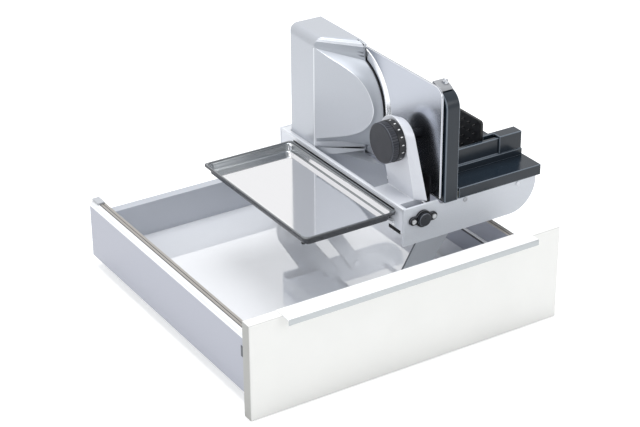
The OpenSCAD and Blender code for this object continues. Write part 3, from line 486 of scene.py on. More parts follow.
class SLICER_OT_drawer(bpy.types.Operator):
    """Sides, back, floor and rails of the drawer"""
    bl_idname = "slicer.drawer"
    bl_label = "Drawer box"

    def execute(self, context):
        looks = context.scene.drawer_looks
        # Silver lacquered steel, with a painted highlight on its rim and ledge, and the rim's inner part and the inner
        # wall above the ledge in grey painted shade
        side = lacquer("silver_lacquered_steel", looks.side, metallic=0.35, roughness=0.34, flake=0.02, coat=0.2)
        rim = lacquer("rim_highlight_lacquer", "#F2F3F6", metallic=0.25, roughness=0.28, flake=0.01)
        shadow = lacquer("grey_shade_lacquer", "#A19D98", metallic=0.2, roughness=0.4, coat=0.1)
        for name in ("side_left", "side_right"):
            wall = taken(name + "_wall", name)
            marked(wall, 1, lambda c, n: (c.z > 95.5 or (70 < c.z < 75 and abs(c.x) < 215.9)) and abs(n.y) < 0.5)
            marked(wall, 2, lambda c, n: c.z > 74 and abs(n.y) < 0.5 and abs(c.x) < 225.9)
            done(wall, side, "drawer", name, slot="side_metal", angle=34, edge=rim, third=shadow)
        # Dark strips as painted shade in the two fine grooves of each rim, and below each ledge
        shade_strips = [rounded(block("groove_shade_strip", (x - 0.55, 1, 104.1), (x + 0.55, 454, 105.05)), 0.2, 1)
                 for x in (-225.57, -220.62, 220.62, 225.57)]
        shade_strips += [rounded(block("ledge_shade_strip", (x - 0.6, 1, 66.6), (x + 0.3, 451, 70.4)), 0.1, 1) for x in (-215.8, 215.8)]
        dark = moulded("dark_groove_shade_strip", "#3E3F43", 0.5, 0.5, 0.004)
        done(joined("groove_shade_strips", shade_strips), dark, "drawer", slot="dark_grey")
        # Satin coated steel of the back panel
        back = lacquer("satin_grey_coating", looks.back, metallic=0.2, roughness=0.38, coat=0.1)
        copied("back_wall", "back_panel", 0.8, back, "drawer", "back_board", 3)
        # High-gloss coating over metal: it mirrors the tray, the tower and the back panel sharply
        floor = lacquer("pale_mirror_coating", looks.floor, metallic=0.34, roughness=0.02, coat=0.5, peel=60, depth=0.00006)
        copied("floor_board", "bottom_panel", 0.4, floor, "drawer", "floor_board")
        # Grey caps on the sides' rear ends, and the dark clips that hold the front
        caps = moulded("grey_end_cap_plastic", "#B4B7BC", 0.42, 0.6, 0.012)
        copied("end_caps", "side_caps", 0.8, caps, "drawer", "cap_grey", 3)
        clips = moulded("dark_grey_clip_plastic", "#54585F", 0.45, 0.5, 0.015)
        copied("front_clips", "side_clips", 0.4, clips, "drawer", "dark_grey")
        zinc = {"cabinet_rails": "cabinet_part", "middle_rails": "middle_part", "drawer_runners": "drawer",
                "front_brackets": "drawer"}
        for name, body in zinc.items():
            copied(name + "_zinc", name, 0.25, zinc_rail(), body, "rail_steel")
        dress(bright_steel(), "front_screws")
        return {"FINISHED"}


# Lift and frame

class SLICER_OT_lift(bpy.types.Operator):
    """Brackets, arms and frame that carry the slicer"""
    bl_idname = "slicer.lift"
    bl_label = "Lift and frame"

    def execute(self, context):
        edge = context.scene.slicer_looks.edge / MM
        # The arms' edges and side faces are painted dull and dark as shade beside the lacquered faces
        dull = lacquer("arm_edge_painted_shade", "#62656B", metallic=0.4, roughness=0.45, flake=0.02, coat=0)
        for name, body in {"lift_arm_front": "lift", "lift_arm_rear": "lift", "guide_arm": "guide"}.items():
            arm = marked(rounded(taken(name + "_cast", name), edge, 3), 1, lambda c, n: abs(n.y) < 0.5)
            done(arm, silver_casting(), body, name, slot="cast_silver", edge=dull)
        # Frame: the tower's lacquer in a paler copy as painted light, with the painted highlight on its rounded edges
        sheet = silver("silver_lacquer_painted_paler", "#D6DAE1", 0.1)
        for name in ("frame_front", "frame_rear", "frame_sill"):
            copied(name + "_cast", name, edge, sheet, "slicer", "cast_silver", 3, casting_edge_highlight())
        # The beam's wall takes a still paler copy, painted light
        wall = silver("silver_lacquer_painted_palest", "#ECEFF6", 0.1, flake=0.02)
        copied("frame_beam_cast", "frame_beam", edge, wall, "slicer", "cast_silver", 3, casting_edge_highlight())
        # Thin flange along the top of the left wall, as wide as the gap to the tower, with its edge folded down; flange
        # and fold take the painted highlight
        outline = [(43.8, 70.2), (50.2, 70.2), (50.2, 300), (51.4, 304), (51.4, 373.2), (100, 373.2), (100, 386.2),
                   (43.8, 386.2)]
        flange = plate("beam_flange", "Z", 186.8, 187.8, outline)
        fold = block("beam_fold", (43.8, 70.2, 183.4), (44.3, 386.2, 187.4))
        done(joined("beam_flange", [rounded(flange, 0.3, 2), rounded(fold, 0.15, 2)]), casting_edge_highlight(), "slicer",
             slot="cast_silver", edge=casting_edge_highlight())
        # Black strip in the gap beside the tray as painted shadow, and the black catch at the wall's front end
        gap_shade = [rounded(block("tray_gap_shade", (43.75, 89, 171), (44.2, 352, 181.6)), 0.1, 1),
                  rounded(block("tray_catch", (43.6, 74, 148), (44.3, 102, 153.5)), 0.2, 1)]
        gap_black = moulded("black_gap_shade_and_catch", "#16171A", 0.6, 0.8, 0.01, sheen=0.3)
        done(joined("tray_gap_shade", gap_shade), gap_black, "slicer", slot="black_plastic")
        copied("bracket_feet", "floor_brackets", 0.5, zinc_rail(), "drawer", "steel")
        dress(bright_steel(), "floor_bolts", "lift_axles", "arm_pins", "guide_rods", "rod_screws")
        return {"FINISHED"}


class SLICER_OT_lock(bpy.types.Operator):
    """Two-eared flange with its screws and the release button"""
    bl_idname = "slicer.lock"
    bl_label = "Lock"

    def execute(self, context):
        # Black nylon flange and dark button, both greyer on their rounded edges as a painted highlight
        painted_edge_tone = moulded("nylon_edge_highlight", "#4B4F57", 0.3, 0.5, 0.004)
        copied("lock_ears", "lock_flange", 0.7, black_plastic(), "slicer", "black_plastic", 3, painted_edge_tone)
        dress(plated("bright_zinc_screw", "#EEF0F2", 0.3, 2), "lock_screws")
        dark = moulded("dark_button_plastic", "#26292F", 0.3, 0.5, 0.01)
        painted_edge_tone = moulded("button_edge_highlight", "#6A6F78", 0.3, 0.5, 0.004)
        copied("lock_knob", "lock_button", 0.6, dark, "lock", "dark_grey", 3, painted_edge_tone)
        return {"FINISHED"}


# Tower, in mm

FACE_X, SIDE_X, RIM_X = 51.6, 101, 102.6    # flat face, plane of the back plate, round edge on the blade's side
REAR_Y, REAR_TURN = 372.8, 5                # rear face, and the radius of its upright edge
FOOT_Z, FACE_Z, SHOULDER_Z, REAR_Z, TOP_Z = 139, 340, 341, 354, 355.6
LEFT, RIGHT, CORNER = (66.2, 372.2, TOP_Z), (105.2, 372.2, TOP_Z), (104.9, 268.3, TOP_Z)    # flat top's corners
PLAIN, PAINTED_HIGHLIGHT, PAINTED_SHADE = 0, 1, 2              # finishes of the skin's faces: plain, painted highlight, painted shade
LINE = 0.9                                  # width of the narrow lines along the top's creases, two of them painted highlight
COVER_ENDS = (110.8, 233.5)                 # ends of the cover's round edge, in degrees from the rear
UPRIGHT = (53.7, 303.5)                     # front edge of the flat face, and its soft rounding to the rear
SOFT = [(52.55, 306.3), (51.9, 308.2), (FACE_X, 310.6)]
KNEE = [(RIM_X, 232.3, 205), (RIM_X, 248.4, 204.6), (RIM_X, 248.4, 196.5), (RIM_X, 247.5, 193.3)]
CREASE = [(53.7, 303.5, 340), (60.3, 288.6, 333), (72.8, 260, 322.7), (81.5, 240.2, 313), (87.7, 226, 298.3),
          (90.9, 219, 283.3), (92.8, 214.5, 267.5), (91.6, 217.3, 252.5), (88.5, 224.3, 239.2), (83, 237, 227),
          (72.8, 260, 215.5), (54.0, 303, 201)]


def resampled(points, count):
    """A line of points walked again in equal steps."""
    points = vectors(*points)
    lengths = [0.0]
    for a, b in zip(points, points[1:]):
        lengths.append(lengths[-1] + (b - a).length)
    result, k = [], 0
    for i in range(count + 1):
        want = lengths[-1] * i / count
        while k < len(points) - 2 and lengths[k + 1] < want:
            k += 1
        span = lengths[k + 1] - lengths[k]
        result.append(points[k].lerp(points[k + 1], (want - lengths[k]) / span if span else 0))
    return result


def smoothed(points, count):
    """A line of points with its corners cut, walked in equal steps."""
    points = vectors(*points)
    for _ in range(2):
        cutline = [points[0]]
        for a, b in zip(points, points[1:]):
            cutline += [a.lerp(b, 0.25), a.lerp(b, 0.75)]
        points = cutline + [points[-1]]
    return resampled(points, count)


def cover_circle(start, end, count, radius=71.4):
    """Part of the cover's round edge; angles in degrees from the rear (+Y), up positive."""
    return vectors(*((RIM_X, y, z) for y, z in arc(BLADE_Y, BLADE_Z, radius, start, end, count)))


def divided(a, b, *shares):
    """Points on the way from one point to another."""
    return [a.lerp(b, share) for share in shares]


def upright(place, levels):
    """Points above each other."""
    return [Vector((*place, z)) for z in levels]


def flat(line):
    """A line of points moved into the plane of the back plate."""
    return [Vector((SIDE_X, p.y, p.z)) for p in line]


def add_cove(form):
    """Coved band from the crease of the face to the round edge; returns both lines."""
    count = 40
    crease, rim = smoothed(CREASE, count), resampled(cover_circle(*COVER_ENDS, 48), count)
    # Share of the way and depth of each row: steep at the crease, flatter towards the edge
    rows = []
    for share, depth in ((0, 0), (None, 0.05), (0.22, 1.2), (0.45, 2.2), (0.7, 1.9), (0.88, 0.8), (0.97, 0.1), (1, 0)):
        row = []
        for i, (a, b) in enumerate(zip(crease, rim)):
            fade = sin(pi * i / count) ** 0.5
            # The second row keeps one width, that of the painted highlight line along the crease; the rows beyond take
            # the painted shade
            part = 1.3 / (b - a).length if share is None else share
            row.append(a.lerp(b, part) + Vector((depth * 0.8, depth * 0.6, 0)) * fade)
        rows.append(row)
    for k, (a, b) in enumerate(zip(rows, rows[1:])):
        form.strip(a, b, PAINTED_HIGHLIGHT if k == 0 else PAINTED_SHADE)
    return crease, rim


def add_face(form, crease):
    """Leaning face with its soft upright edge, the rear edge, and the column below; returns the column's outline."""
    levels = [p.z for p in crease]
    previous = upright(UPRIGHT, levels)
    form.strip(previous, crease)
    # The strip that ends at the rounding's second point carries the painted highlight
    for place in SOFT:
        line = upright(place, levels)
        form.strip(previous, line, PAINTED_HIGHLIGHT if place == SOFT[1] else PLAIN)
        previous = line
    rear_edge = arc(FACE_X + REAR_TURN, REAR_Y - REAR_TURN, REAR_TURN, 180, 90, 5)
    form.strip(previous, upright(rear_edge[0], levels))
    for a, b in zip(rear_edge, rear_edge[1:]):
        form.strip(upright(a, levels), upright(b, levels))
    low = (201, 195.3, 186.7, 177.2, 160, FOOT_Z)
    columns = [UPRIGHT] + SOFT + rear_edge
    for a, b in zip(columns, columns[1:]):
        # One narrow strip of each upright edge carries the painted highlight
        form.strip(upright(a, low), upright(b, low), PAINTED_HIGHLIGHT if 52 < a[0] < 53 else PLAIN)
    return columns


def add_shoulder(form):
    """Rounded shoulder up to the flat top; returns its rows of points from the rear to the front."""
    radius, rear_line = 14.6, REAR_Y - REAR_TURN
    rows = []
    for angle, y in zip((0, 12, 27, 42, 57, 72, 84, 90), (303.8, 303.8, 303.7, 303.6, 303.4, 303.2, 303, 302.8)):
        x = FACE_X + radius - radius * cos(radians(angle))
        z = SHOULDER_Z + radius * sin(radians(angle))
        dip = 4.5 * max(1 - (z - SHOULDER_Z) / radius, 0) ** 1.5
        past = max(FACE_X + REAR_TURN - x, 0)
        rows.append(vectors((x, rear_line + sqrt(max(REAR_TURN ** 2 - past ** 2, 0)), z), (x, rear_line, z),
                            (x, 310.6 - 0.3 * (radius - dip), z), (x + 0.2, y + dip, z)))
    outline = ((FACE_X, rear_line), (FACE_X, rear_line), SOFT[2], SOFT[0])
    rows[0] = [Vector((*place, SHOULDER_Z)) for place in outline]
    for a, b in zip(rows, rows[1:]):
        form.strip(a, b)
    form.strip([Vector((*place, FACE_Z)) for place in outline], rows[0])
    return rows


def add_top(form, shoulder, crease_end, rim_end):
    """Flat top, and the fan of creases below its front edge; returns the fan's line on the blade's side."""
    front = [row[3] for row in shoulder]
    form.fan(shoulder[-1][1:] + vectors(CORNER, RIGHT, LEFT))
    tip = Vector((53.2, 304.6, 341.2))
    left = [front[7], *front[5:0:-1], tip, crease_end]
    right = vectors(CORNER, (104.8, 259.5, 355), (104.2, 252.5, 353), (103, 249.6, 349.5), (104.6, 250.8, 344),
                    (103.8, 250.4, 338.5), (102.8, 249.4, 334)) + [rim_end]
    lines = [divided(a, b, 0, 0.08, 0.25, 0.5, 0.75, 1) for a, b in zip(left, right)]
    # Each facet of the fan begins with a narrow line along its crease; two lines carry the painted highlight, the lower
    # lines and most facets the painted shade
    finishes = [(PLAIN, PAINTED_SHADE), (PLAIN, PAINTED_SHADE), (PAINTED_HIGHLIGHT, PLAIN), (PAINTED_HIGHLIGHT, PAINTED_SHADE)] + [(PAINTED_SHADE, PAINTED_SHADE)] * 3
    for a, b, (line, facet) in zip(lines, lines[1:], finishes):
        narrow = [p + (q - p) * LINE / max((q - p).length, LINE) for p, q in zip(a, b)]
        form.strip(a, narrow, line)
        form.strip(narrow, b, facet)
    form.fan([Vector((*SOFT[0], FACE_Z)), crease_end, tip, front[0]])
    form.fan([front[0], tip, front[1]])
    form.fan([front[5], front[7], front[6]])
    return right


def add_panel(form, crease_end, rim_end):
    """Creases below the face, the ledge and the lower panel; returns the brow's end, the nose and the foot's outline."""
    knee, parts, quarters = vectors(*KNEE), (0, 0.3, 0.6, 1), (0, 0.25, 0.5, 0.75, 1)
    high, low = upright(UPRIGHT, (195.3, 186.7))
    bulge = [p + Vector((2.5 * sin(pi * s), 0, 0)) for p, s in zip(divided(high, knee[1], *parts), parts)]
    # The creases below the face and the brow take the painted shade; the strip between them is plain
    form.strip(divided(crease_end, rim_end, *quarters), divided(crease_end, knee[0], *quarters), PAINTED_SHADE)
    form.strip(divided(crease_end, knee[0], *parts), bulge, PAINTED_SHADE)
    form.strip(bulge, divided(low, knee[2], *parts))
    brow = vectors((53.7, 303.5, 177.2), (58.5, 292.9, 178.6), (70, 276.5, 182.6), (88, 259.3, 188), (102.2, 249.6, 191))
    form.strip(divided(low, knee[3], 0, 0.1, 0.35, 0.7, 1), brow, PAINTED_SHADE)
    # The panel lies on the slope of the flat face; its free part stays below the stop plate's travel
    nose = vectors(*((SIDE_X, y, z) for y, z in ((199.5, 187), (194, 178), (188.5, 164), (187.5, 153), (191.5, FOOT_Z))))
    shelf = Vector((86.5, 233, 187))
    form.fan([brow[2], brow[3], brow[4], Vector((101.6, 248.8, 187)), nose[0], shelf])
    foot = vectors(*((x, y, FOOT_Z) for x, y in (UPRIGHT, (58, 294), (72, 262), (88, 226)))) + [nose[-1]]
    top_row = brow[:3] + [shelf, nose[0]]
    rows = [top_row] + [[a.lerp(b, k / 4) for a, b in zip(top_row[:-1], foot)] + [nose[k]] for k in range(1, 5)]
    for a, b in zip(rows, rows[1:]):
        form.strip(a, b)
    return brow[-1], nose, foot


def add_blade_side(form, rim, top_line, brow_end, nose):
    """Blade side: closed at the back plate, with the round edge standing proud as a thin lip."""
    knee, low = vectors(*KNEE), Vector((101.6, 248.8, 187))
    form.strip(rim, flat(rim))
    for pair in (knee[:2], knee[1:3], knee[2:], [rim[-1], knee[0]], top_line):
        form.strip(pair, flat(pair))
    form.fan([knee[3], brow_end, low, *flat([low, knee[3]])])
    form.fan([low, nose[0], *flat([low])])
    rear = vectors((SIDE_X, REAR_Y, FOOT_Z), (SIDE_X, REAR_Y, REAR_Z))
    form.fan(flat(top_line + rim[1:] + knee + [low]) + nose + rear)


def add_rear(form, shoulder, columns, foot):
    """Overhang above the plate round the blade, the rear face and the foot."""
    left, right, corner = vectors(LEFT, RIGHT, CORNER)
    edge = vectors((66.2, REAR_Y, REAR_Z), (SIDE_X, REAR_Y, REAR_Z))
    under = [Vector((p.x, p.y, TOP_Z - 1)) for p in (right, corner)]
    form.strip([right, corner], under)
    form.strip(under, [edge[1], *flat([corner])])
    # The upright rounding runs on up to the shoulder, and the rear face follows the shoulder's turn
    rear, tip = [row[0] for row in shoulder], Vector((*columns[-1], 352))
    turning = rear[:4] + [tip]
    form.strip([Vector((p.x, p.y, FACE_Z)) for p in turning], turning)
    form.fan([rear[3], tip, rear[4]])
    bottom = Vector((SIDE_X, REAR_Y, FOOT_Z))
    form.fan(upright(columns[-1], (SHOULDER_Z, FOOT_Z)) + [bottom, edge[1], edge[0], *rear[:3:-1], tip])
    form.fan([edge[0], left, rear[7]])
    form.strip(edge, [left, right])
    form.fan([Vector((*place, FOOT_Z)) for place in columns] + [bottom, *foot[:0:-1]])


def tower_skin():
    """Skin of the motor tower."""
    form = Patches()
    crease, rim = add_cove(form)
    columns = add_face(form, crease)
    shoulder = add_shoulder(form)
    top_line = add_top(form, shoulder, crease[0], rim[0])
    brow_end, nose, foot = add_panel(form, crease[-1], rim[-1])
    add_blade_side(form, rim, top_line, brow_end, nose)
    add_rear(form, shoulder, columns, foot)
    return form.skin("tower_shell", 0.05)


class SLICER_OT_tower(bpy.types.Operator):
    """Motor tower with its coved cover, the plate round the blade and the drive inside"""
    bl_idname = "slicer.tower"
    bl_label = "Tower"

    def execute(self, context):
        # Painted shade: the cove and the facets below the top take a darker, matt copy of the lacquer; the narrow lines
        # along the creases take the painted highlight of the edges
        cove_shade = silver("silver_lacquered_cove_shade", "#ABB0B8", 0.2, 0.45, coat=0)
        done(tower_skin(), silver_casting(), "slicer", "motor_housing", "back_plate", slot="cast_silver", angle=22,
             edge=casting_edge_highlight(), third=cove_shade)
        surround = taken("surround_plate", "blade_rim")
        for vert in surround.data.vertices:
            # Its top stays just under the shell's overhang
            vert.co.z = min(vert.co.z, 354.5 * MM)
        done(rounded(surround, 0.6, 2), silver_casting(), "slicer", "blade_rim", slot="cast_silver", edge=casting_edge_highlight())
        dress(bright_steel(), "housing_screws", "motor_plate", "blade_hub")
        # Grey coated motor, bronze worm and bush, dark switch
        dress(moulded("grey_motor_coating", "#7A7E84", 0.4, 1.0, 0.01), "motor")
        dress(plated("turned_bronze", "#C1A468", 0.28, 3), "motor_worm", "hub_bush")
        dress(natural_nylon(), "worm_wheel")
        dress(moulded("dark_switch_plastic", "#3A3E45", 0.4, 0.6, 0.015), "switch_block", "switch_button")
        dress(black_plastic(), "cable_gland")
        return {"FINISHED"}


class SLICER_OT_blade(bpy.types.Operator):
    """Round blade with its ground bevel, its screw and a dark ring behind the cover's edge"""
    bl_idname = "slicer.blade"
    bl_label = "Blade"

    def execute(self, context):
        profile = [(103.2, 0), (103.2, 77.2), (103.4, 78), (104.45, 85), (104.8, 84.9), (104.8, 79), (104.8, 0)]
        # Hardened steel, ground in rings
        steel = ground("ground_blade_steel", "#D9DBDF", 0.14)
        blade = turned("round_blade", "X", BLADE_Y, BLADE_Z, profile, 160)
        done(blade, steel, "blade_set", "blade", slot="blade_steel", angle=20)
        cap = moulded("dark_cap_plastic", "#4A4D53", 0.4, 0.6, 0.012)
        copied("blade_cap", "blade_screw", 0.5, cap, "blade_set", "dark_grey", 3)
        line = [Vector((RIM_X, 249.2, 347))] + cover_circle(*COVER_ENDS, 60) + [Vector(KNEE[0])]
        wide = [Vector((RIM_X, 248, 347))] + cover_circle(110.2, 234.5, 60, 72.7) + [Vector((RIM_X, 231, 205))]
        rings = [[(102.55, a.y, a.z), (102.55, b.y, b.z), (101.6, b.y, b.z), (101.6, a.y, a.z)] for a, b in zip(line, wide)]
        form = Patches()
        form.tube(rings, [PLAIN] * len(rings))
        done(form.skin("cover_dark_ring"), black_plastic(), "slicer", slot="black_plastic")
        return {"FINISHED"}


# Stop plate and knob

class SLICER_OT_stop(bpy.types.Operator):
    """Stop plate with its leaning arm and slides"""
    bl_idname = "slicer.stop"
    bl_label = "Stop plate"

    def execute(self, context):
        looks = context.scene.slicer_looks
        # Anodised sheet with faint upright lines, and its cut edges painted bright as a highlight
        sheet = drawn("satin_anodised_plate", looks.plate, 0.22, 0.4, "Z", depth=0.0002, tint=0.02, anisotropic=0.3)
        cut_edge = lacquer("plate_edge_highlight", "#FBFCFD", metallic=0.2, roughness=0.3, peel=2, depth=0.001)
        done(rounded(taken("stop_sheet", "stop_plate"), 0.5, 3, 25), sheet, "stop", "stop_plate", slot="anodised", angle=22,
             edge=cut_edge)
        # Arm: a casting that faces the light, lacquered paler as painted light; its side that faces the plate is
        # painted black as shade, so that the plate mirrors it dark
        pale = silver("pale_silver_painted_light", "#DADDE4", 0.2, 0.32, 0.02, 0.004, 0.2)
        arm = marked(rounded(taken("knob_bracket", "knob_arm"), 1.6, 4), 2, lambda c, n: n.x > 0.6)
        done(arm, pale, "slicer", "knob_arm", slot="cast_silver", edge=casting_edge_highlight(), third=black_plastic())
        # The bracket is dressed black as painted shade, like the rods
        dress(black_plastic(), "stop_bracket")
        # Rods painted near black as shade, so that they don't glint behind the plate
        dress(moulded("dark_rod_painted_shade", "#2A2C30", 0.3, 0.5, 0.002), "stop_slides")
        return {"FINISHED"}


class SLICER_OT_knob(bpy.types.Operator):
    """Thickness knob with its dial ring and ticks"""
    bl_idname = "slicer.knob"
    bl_label = "Knob"

    def execute(self, context):
        looks = context.scene.slicer_looks
        # Soft dark grip, greyer on its front edge as a painted highlight
        grip = moulded("dark_knob_plastic", looks.knob, 0.42, 0.6, 0.012)
        painted_edge_tone = moulded("knob_edge_highlight", "#464A53", 0.35, 0.6, 0.004)
        facets, ribs_from, ribs_to, pressed = 144, 52.1, 61.3, 0.972
        profile = [(50.0, 0), (50.0, 26.4), (50.25, 27.4), (50.9, 28.4), (51.6, 28.9), (52.2, 29), (61.2, 29), (61.5, 28.6),
                   (61.5, 27), (72.5, 27), (72.5, 7.06), (67.6, 7.06), (67.6, 0)]
        body = turned("knob_body", "X", KNOB_Y, KNOB_Z, profile, facets)
        # Fine ribs round the grip: every third line of it is pressed in
        for vert in body.data.vertices:
            x, y, z = vert.co / MM
            around = atan2(z - KNOB_Z, y - KNOB_Y) / tau * facets
            if ribs_from < x < ribs_to and round(around) % 3 == 0:
                vert.co = Vector((x, KNOB_Y + (y - KNOB_Y) * pressed, KNOB_Z + (z - KNOB_Z) * pressed)) * MM
        # The front edge takes the painted highlight
        marked(body, 1, lambda c, n: 50.8 < c.x < 52.15)
        done(body, grip, "knob", "thickness_knob", slot="dark_grey", angle=25, edge=painted_edge_tone)
        # Black dial ring with white printed ticks
        profile = [(61.6, 27.05), (61.6, 28.8), (62, 29.4), (62.6, 29.5), (71.6, 29.5), (72.3, 29.1), (72.5, 28.5),
                   (72.5, 27.05)]
        ring = turned("ticked_ring", "X", KNOB_Y, KNOB_Z, profile, 120)
        dial = moulded("black_dial_plastic", "#17191D", 0.36, 0.5, 0.006, sheen=0.4)
        done(ring, dial, "knob", "dial_ring", slot="black_plastic", angle=35)
        marks, dial_turn, first = [], radians(300), radians(-50)
        for i in range(int(dial_turn / looks.tick_step) + 1):
            mark = block("tick", (65.8, -0.75, 29.3), (69.0, 0.75, 29.5))
            spin = Matrix.Rotation(first + i * looks.tick_step, 4, "X")
            mark.data.transform(Matrix.Translation((0, KNOB_Y * MM, KNOB_Z * MM)) @ spin)
            marks.append(mark)
        printed = moulded("white_dial_print", "#E8E9EA", 0.5, 0.4, 0.002)
        done(joined("dial_ticks", marks), printed, "knob", slot="black_plastic")
        return {"FINISHED"}


# Carriage

class SLICER_OT_carriage(bpy.types.Operator):
    """Food carriage with push wall, hand guard and remnant holder"""
    bl_idname = "slicer.carriage"
    bl_label = "Carriage"

    def execute(self, context):
        # Anthracite ABS with a good gloss, so that the deck mirrors the push wall, and lighter on its rounded edges as
        # a painted highlight
        dark = moulded("anthracite_abs", context.scene.slicer_looks.carriage, 0.2, 0.9, 0.002, sheen=0.4)
        painted_edge_tone = moulded("abs_edge_highlight", "#66707B", 0.22, 0.9, 0.002)
        pieces = (("carriage_deck", "carriage", 1.0), ("push_wall", "carriage", 1.2), ("remnant_holder", "holder", 1.2))
        for name, body, width in pieces:
            copied(name + "_abs", name, width, dark, body, "carriage_grey", 4, painted_edge_tone)
        # Hand guard: a wall with one big round corner, and the light bracket with its screw on top
        outline = [(98, 182.2), (98, 343)] + arc(86, 319, 24, 90, 180, 14) + [(62, 182.2)]
        guard = rounded(plate("guard_wall", "X", 108.2, 130.2, outline), 1.6, 4, 30)
        done(guard, dark, "carriage", "hand_guard", slot="carriage_grey", edge=painted_edge_tone)
        bracket = plate("guard_bracket", "X", 108.2, 128, [(97.8, 343), (97.8, 351.4), (94, 351.4), (81, 346.9), (76, 343)])
        coating = lacquer("grey_bracket_coating", "#8E9094", roughness=0.35)
        done(rounded(bracket, 0.8, 2, 30), coating, "carriage", slot="cap_grey")
        profile = [(348.4, 0), (348.4, 4.6), (352.4, 4.6), (353.2, 4.1), (353.4, 3.2), (352.6, 2.6), (352.6, 0)]
        done(turned("bracket_screw", "Z", 122.6, 88.4, profile, 40), bright_steel(), "carriage", slot="steel")
        copied("press_board", "press_plate", 0.4, black_plastic(), "holder", "black_plastic")
        dress(natural_nylon(), "carriage_glides")
        return {"FINISHED"}


class SLICER_OT_tray(bpy.types.Operator):
    """Polished slice tray with its rolled rim and hooks"""
    bl_idname = "slicer.tray"
    bl_label = "Slice tray"

    def execute(self, context):
        # Polished steel; the rolled edge, the outer wall and the steps are painted dark grey as the shade they mirror,
        # and the rim's flat and some steps take a satin grey, also painted shade
        polished = drawn("polished_stainless_steel", "#F0F0F2", 0.07, 0.5, "Y", depth=0.0004, tint=0.01, anisotropic=0.1)
        dark_rim_shade = moulded("dark_rim_painted_shade", "#3F4146", 0.25, 0.6, 0.002)
        satin_shade = drawn("satin_grey_painted_shade", "#93979A", 0.25, 0.5, "Y", depth=0.0004, tint=0.02, anisotropic=0.1)
        plain, dark, satin = 0, 1, 2
        (x0, y0, z0), (x1, y1, z1) = corners_of("slice_tray")
        # Section from the underside's middle, out and over the rim, to the floor's middle: inset, height, corner, finish
        section = (
            (9.5, z0, 6, dark), (7.2, z0 + 0.4, 7, dark), (6.2, z0 + 1.4, 7.5, dark), (5.8, z0 + 3, 8, dark),
            (5.2, z1 - 7, 8, dark), (4.9, z1 - 2.6, 8, dark), (1.4, z1 - 2.4, 6, dark), (0.9, z1 - 3.2, 6, dark),
            (0.2, z1 - 3.2, 6, dark), (0, z1 - 2.4, 6, dark), (0, z1 - 0.8, 6, dark), (0.3, z1 - 0.2, 6, dark),
            (1, z1, 6, satin), (3.2, z1, 8.5, dark), (3.9, z1 - 1.2, 8.5, satin), (4.4, z1 - 1.4, 8.5, satin),
            (5.2, z1 - 2.2, 8.5, plain), (5.8, z1 - 5, 8.5, plain), (6.4, z0 + 3.6, 8.5, satin),
            (7.2, z0 + 2, 8, satin), (8.2, z0 + 1.2, 7.5, plain), (10.4, z0 + 1.05, 6, plain))
        rings = [[(u, v, z) for u, v in rounded_box(x0 + inset, y0 + inset, x1 - inset, y1 - inset, radius, 8)]
                 for inset, z, radius, _ in section]
        form = Patches()
        form.tube(rings, [level[-1] for level in section])
        tray = form.skin("steel_tray")
        # The rear wall's inside takes the satin grey painted shade too
        marked(tray, satin, lambda c, n: n.y < -0.5 and c.y > y1 - 8 and z0 + 2.6 < c.z < z1 - 1.2)
        done(tray, polished, "tray", "slice_tray", slot="tray_steel", angle=50, edge=dark_rim_shade, third=satin_shade)
        copied("tray_fittings", "tray_hooks", 0.4, black_plastic(), "tray", "black_plastic")
        return {"FINISHED"}


# Stage

def is_ray(owner, *kinds):
    """1 for light paths of the given kinds, else 0."""
    path, found = node(owner, "LightPath"), 0
    for kind in kinds:
        found = output_of(owner, "Math", {0: found, 1: path.outputs[f"Is {kind} Ray"]}, operation="MAXIMUM")
    return found


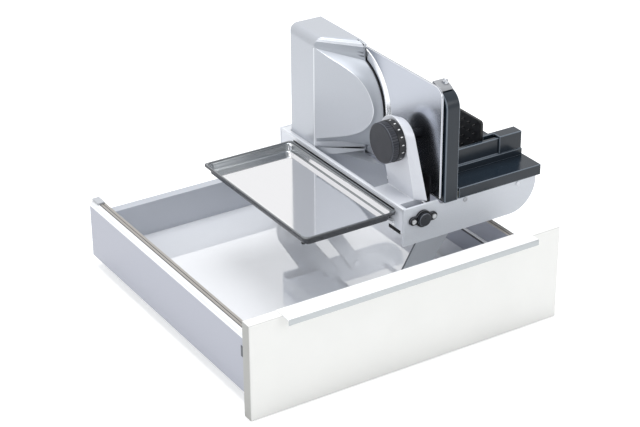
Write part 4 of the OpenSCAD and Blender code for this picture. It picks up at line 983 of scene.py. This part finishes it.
class SLICER_OT_stage(bpy.types.Operator):
    """Camera, floor, world and lamps"""
    bl_idname = "slicer.stage"
    bl_label = "Stage"

    def execute(self, context):
        # Camera solved from the drawer's edges; the focal length is in pixels of a picture 640 pixels wide
        azimuth, elevation, roll = (radians(a) for a in (-32.046, 27.253, -0.366))
        place, focal = (-1.2124, -1.7271, 1.3108), 1823.49
        turn = Matrix.Identity(4)
        for angle, axis in ((azimuth, "Z"), (pi / 2 - elevation, "X"), (roll, "Z")):
            turn @= Matrix.Rotation(angle, 4, axis)
        data = bpy.data.cameras.new("view")
        data.sensor_fit, data.sensor_width, data.lens = "HORIZONTAL", 36, focal * 36 / 640
        data.clip_start, data.clip_end = 0.1, 20
        context.scene.camera = linked("view", data)
        context.scene.camera.matrix_world = Matrix.Translation(place) @ turn

        # Floor: matt white, with a glow of its own where it is seen directly or mirrored
        bpy.ops.mesh.primitive_plane_add(size=12, location=(0, 2.4, -0.0005))
        ground_plane = born("floor")
        finish = Finish("pale_floor", "#F6F6F6", Roughness=0.9, Specular_IOR_Level=0.1)
        material, shaded = finish.material, finish.shader.outputs[0]
        glow = output_of(material, "Emission", {"Color": (1, 1, 1, 1), "Strength": 0.42})
        both = output_of(material, "AddShader", {0: shaded, 1: glow})
        mix = output_of(material, "MixShader", {0: is_ray(material, "Camera", "Glossy"), 1: shaded, 2: both})
        material.node_tree.links.new(mix, material.node_tree.nodes["Material Output"].inputs["Surface"])
        ground_plane.data.materials.append(material)

        # World: plain white where it is seen, mirrored or looked through to, half as bright as a light
        world = bpy.data.worlds.new("studio")
        context.scene.world = world
        world.use_nodes = True
        world.node_tree.nodes.clear()
        white = output_of(world, "Background", {"Color": (1, 1, 1, 1), "Strength": 1.0})
        soft = output_of(world, "Background", {"Color": (0.96, 0.98, 1, 1), "Strength": 0.5})
        seen = is_ray(world, "Camera", "Glossy", "Transmission")
        mix = output_of(world, "MixShader", {0: seen, 1: soft, 2: white})
        node(world, "OutputWorld", {"Surface": mix})

        # Round soft lamps, all turned to the drawer: name, place, diameter in metres, watts
        target = Vector((0, 0.2, 0.15))
        lamps = (("key", (-2, -0.1, 1.6), 1.4, 11), ("fill", (0.9, -2.1, 1.3), 1.4, 10), ("top", (0.1, 0.5, 2.4), 1.6, 42))
        for name, place, size, power in lamps:
            lamp = bpy.data.lights.new(name, "AREA")
            lamp.shape, lamp.size, lamp.energy = "DISK", size, power
            holder = linked(name, lamp)
            holder.location = place
            holder.rotation_euler = (target - Vector(place)).to_track_quat("-Z", "Y").to_euler()
        context.scene.view_settings.view_transform = "Standard"
        return {"FINISHED"}


PIECES = (SLICER_OT_stage, SLICER_OT_front, SLICER_OT_drawer, SLICER_OT_lift, SLICER_OT_lock, SLICER_OT_tower,
          SLICER_OT_blade, SLICER_OT_stop, SLICER_OT_knob, SLICER_OT_carriage, SLICER_OT_tray)


class SLICER_PT_panel(bpy.types.Panel):
    """Lists the pieces in the 3D view's sidebar"""
    bl_idname = "SLICER_PT_panel"
    bl_label = "Drawer food slicer"
    bl_space_type = "VIEW_3D"
    bl_region_type = "UI"
    bl_category = "Slicer"

    def draw(self, context):
        for piece in PIECES:
            self.layout.operator(piece.bl_idname)
        for looks in (context.scene.drawer_looks, context.scene.slicer_looks):
            for name in looks.__annotations__:
                self.layout.prop(looks, name)


CLASSES = (DrawerLooks, SlicerLooks) + PIECES + (SLICER_PT_panel,)


def register():
    for cls in CLASSES:
        bpy.utils.register_class(cls)
    bpy.types.Scene.drawer_looks = bpy.props.PointerProperty(type=DrawerLooks)
    bpy.types.Scene.slicer_looks = bpy.props.PointerProperty(type=SlicerLooks)


def unregister():
    del bpy.types.Scene.slicer_looks
    del bpy.types.Scene.drawer_looks
    for cls in reversed(CLASSES):
        bpy.utils.unregister_class(cls)


def main():
    register()
    for piece in PIECES:
        group, name = piece.bl_idname.split(".")
        getattr(getattr(bpy.ops, group), name)()


if __name__ == "__main__":
    main()
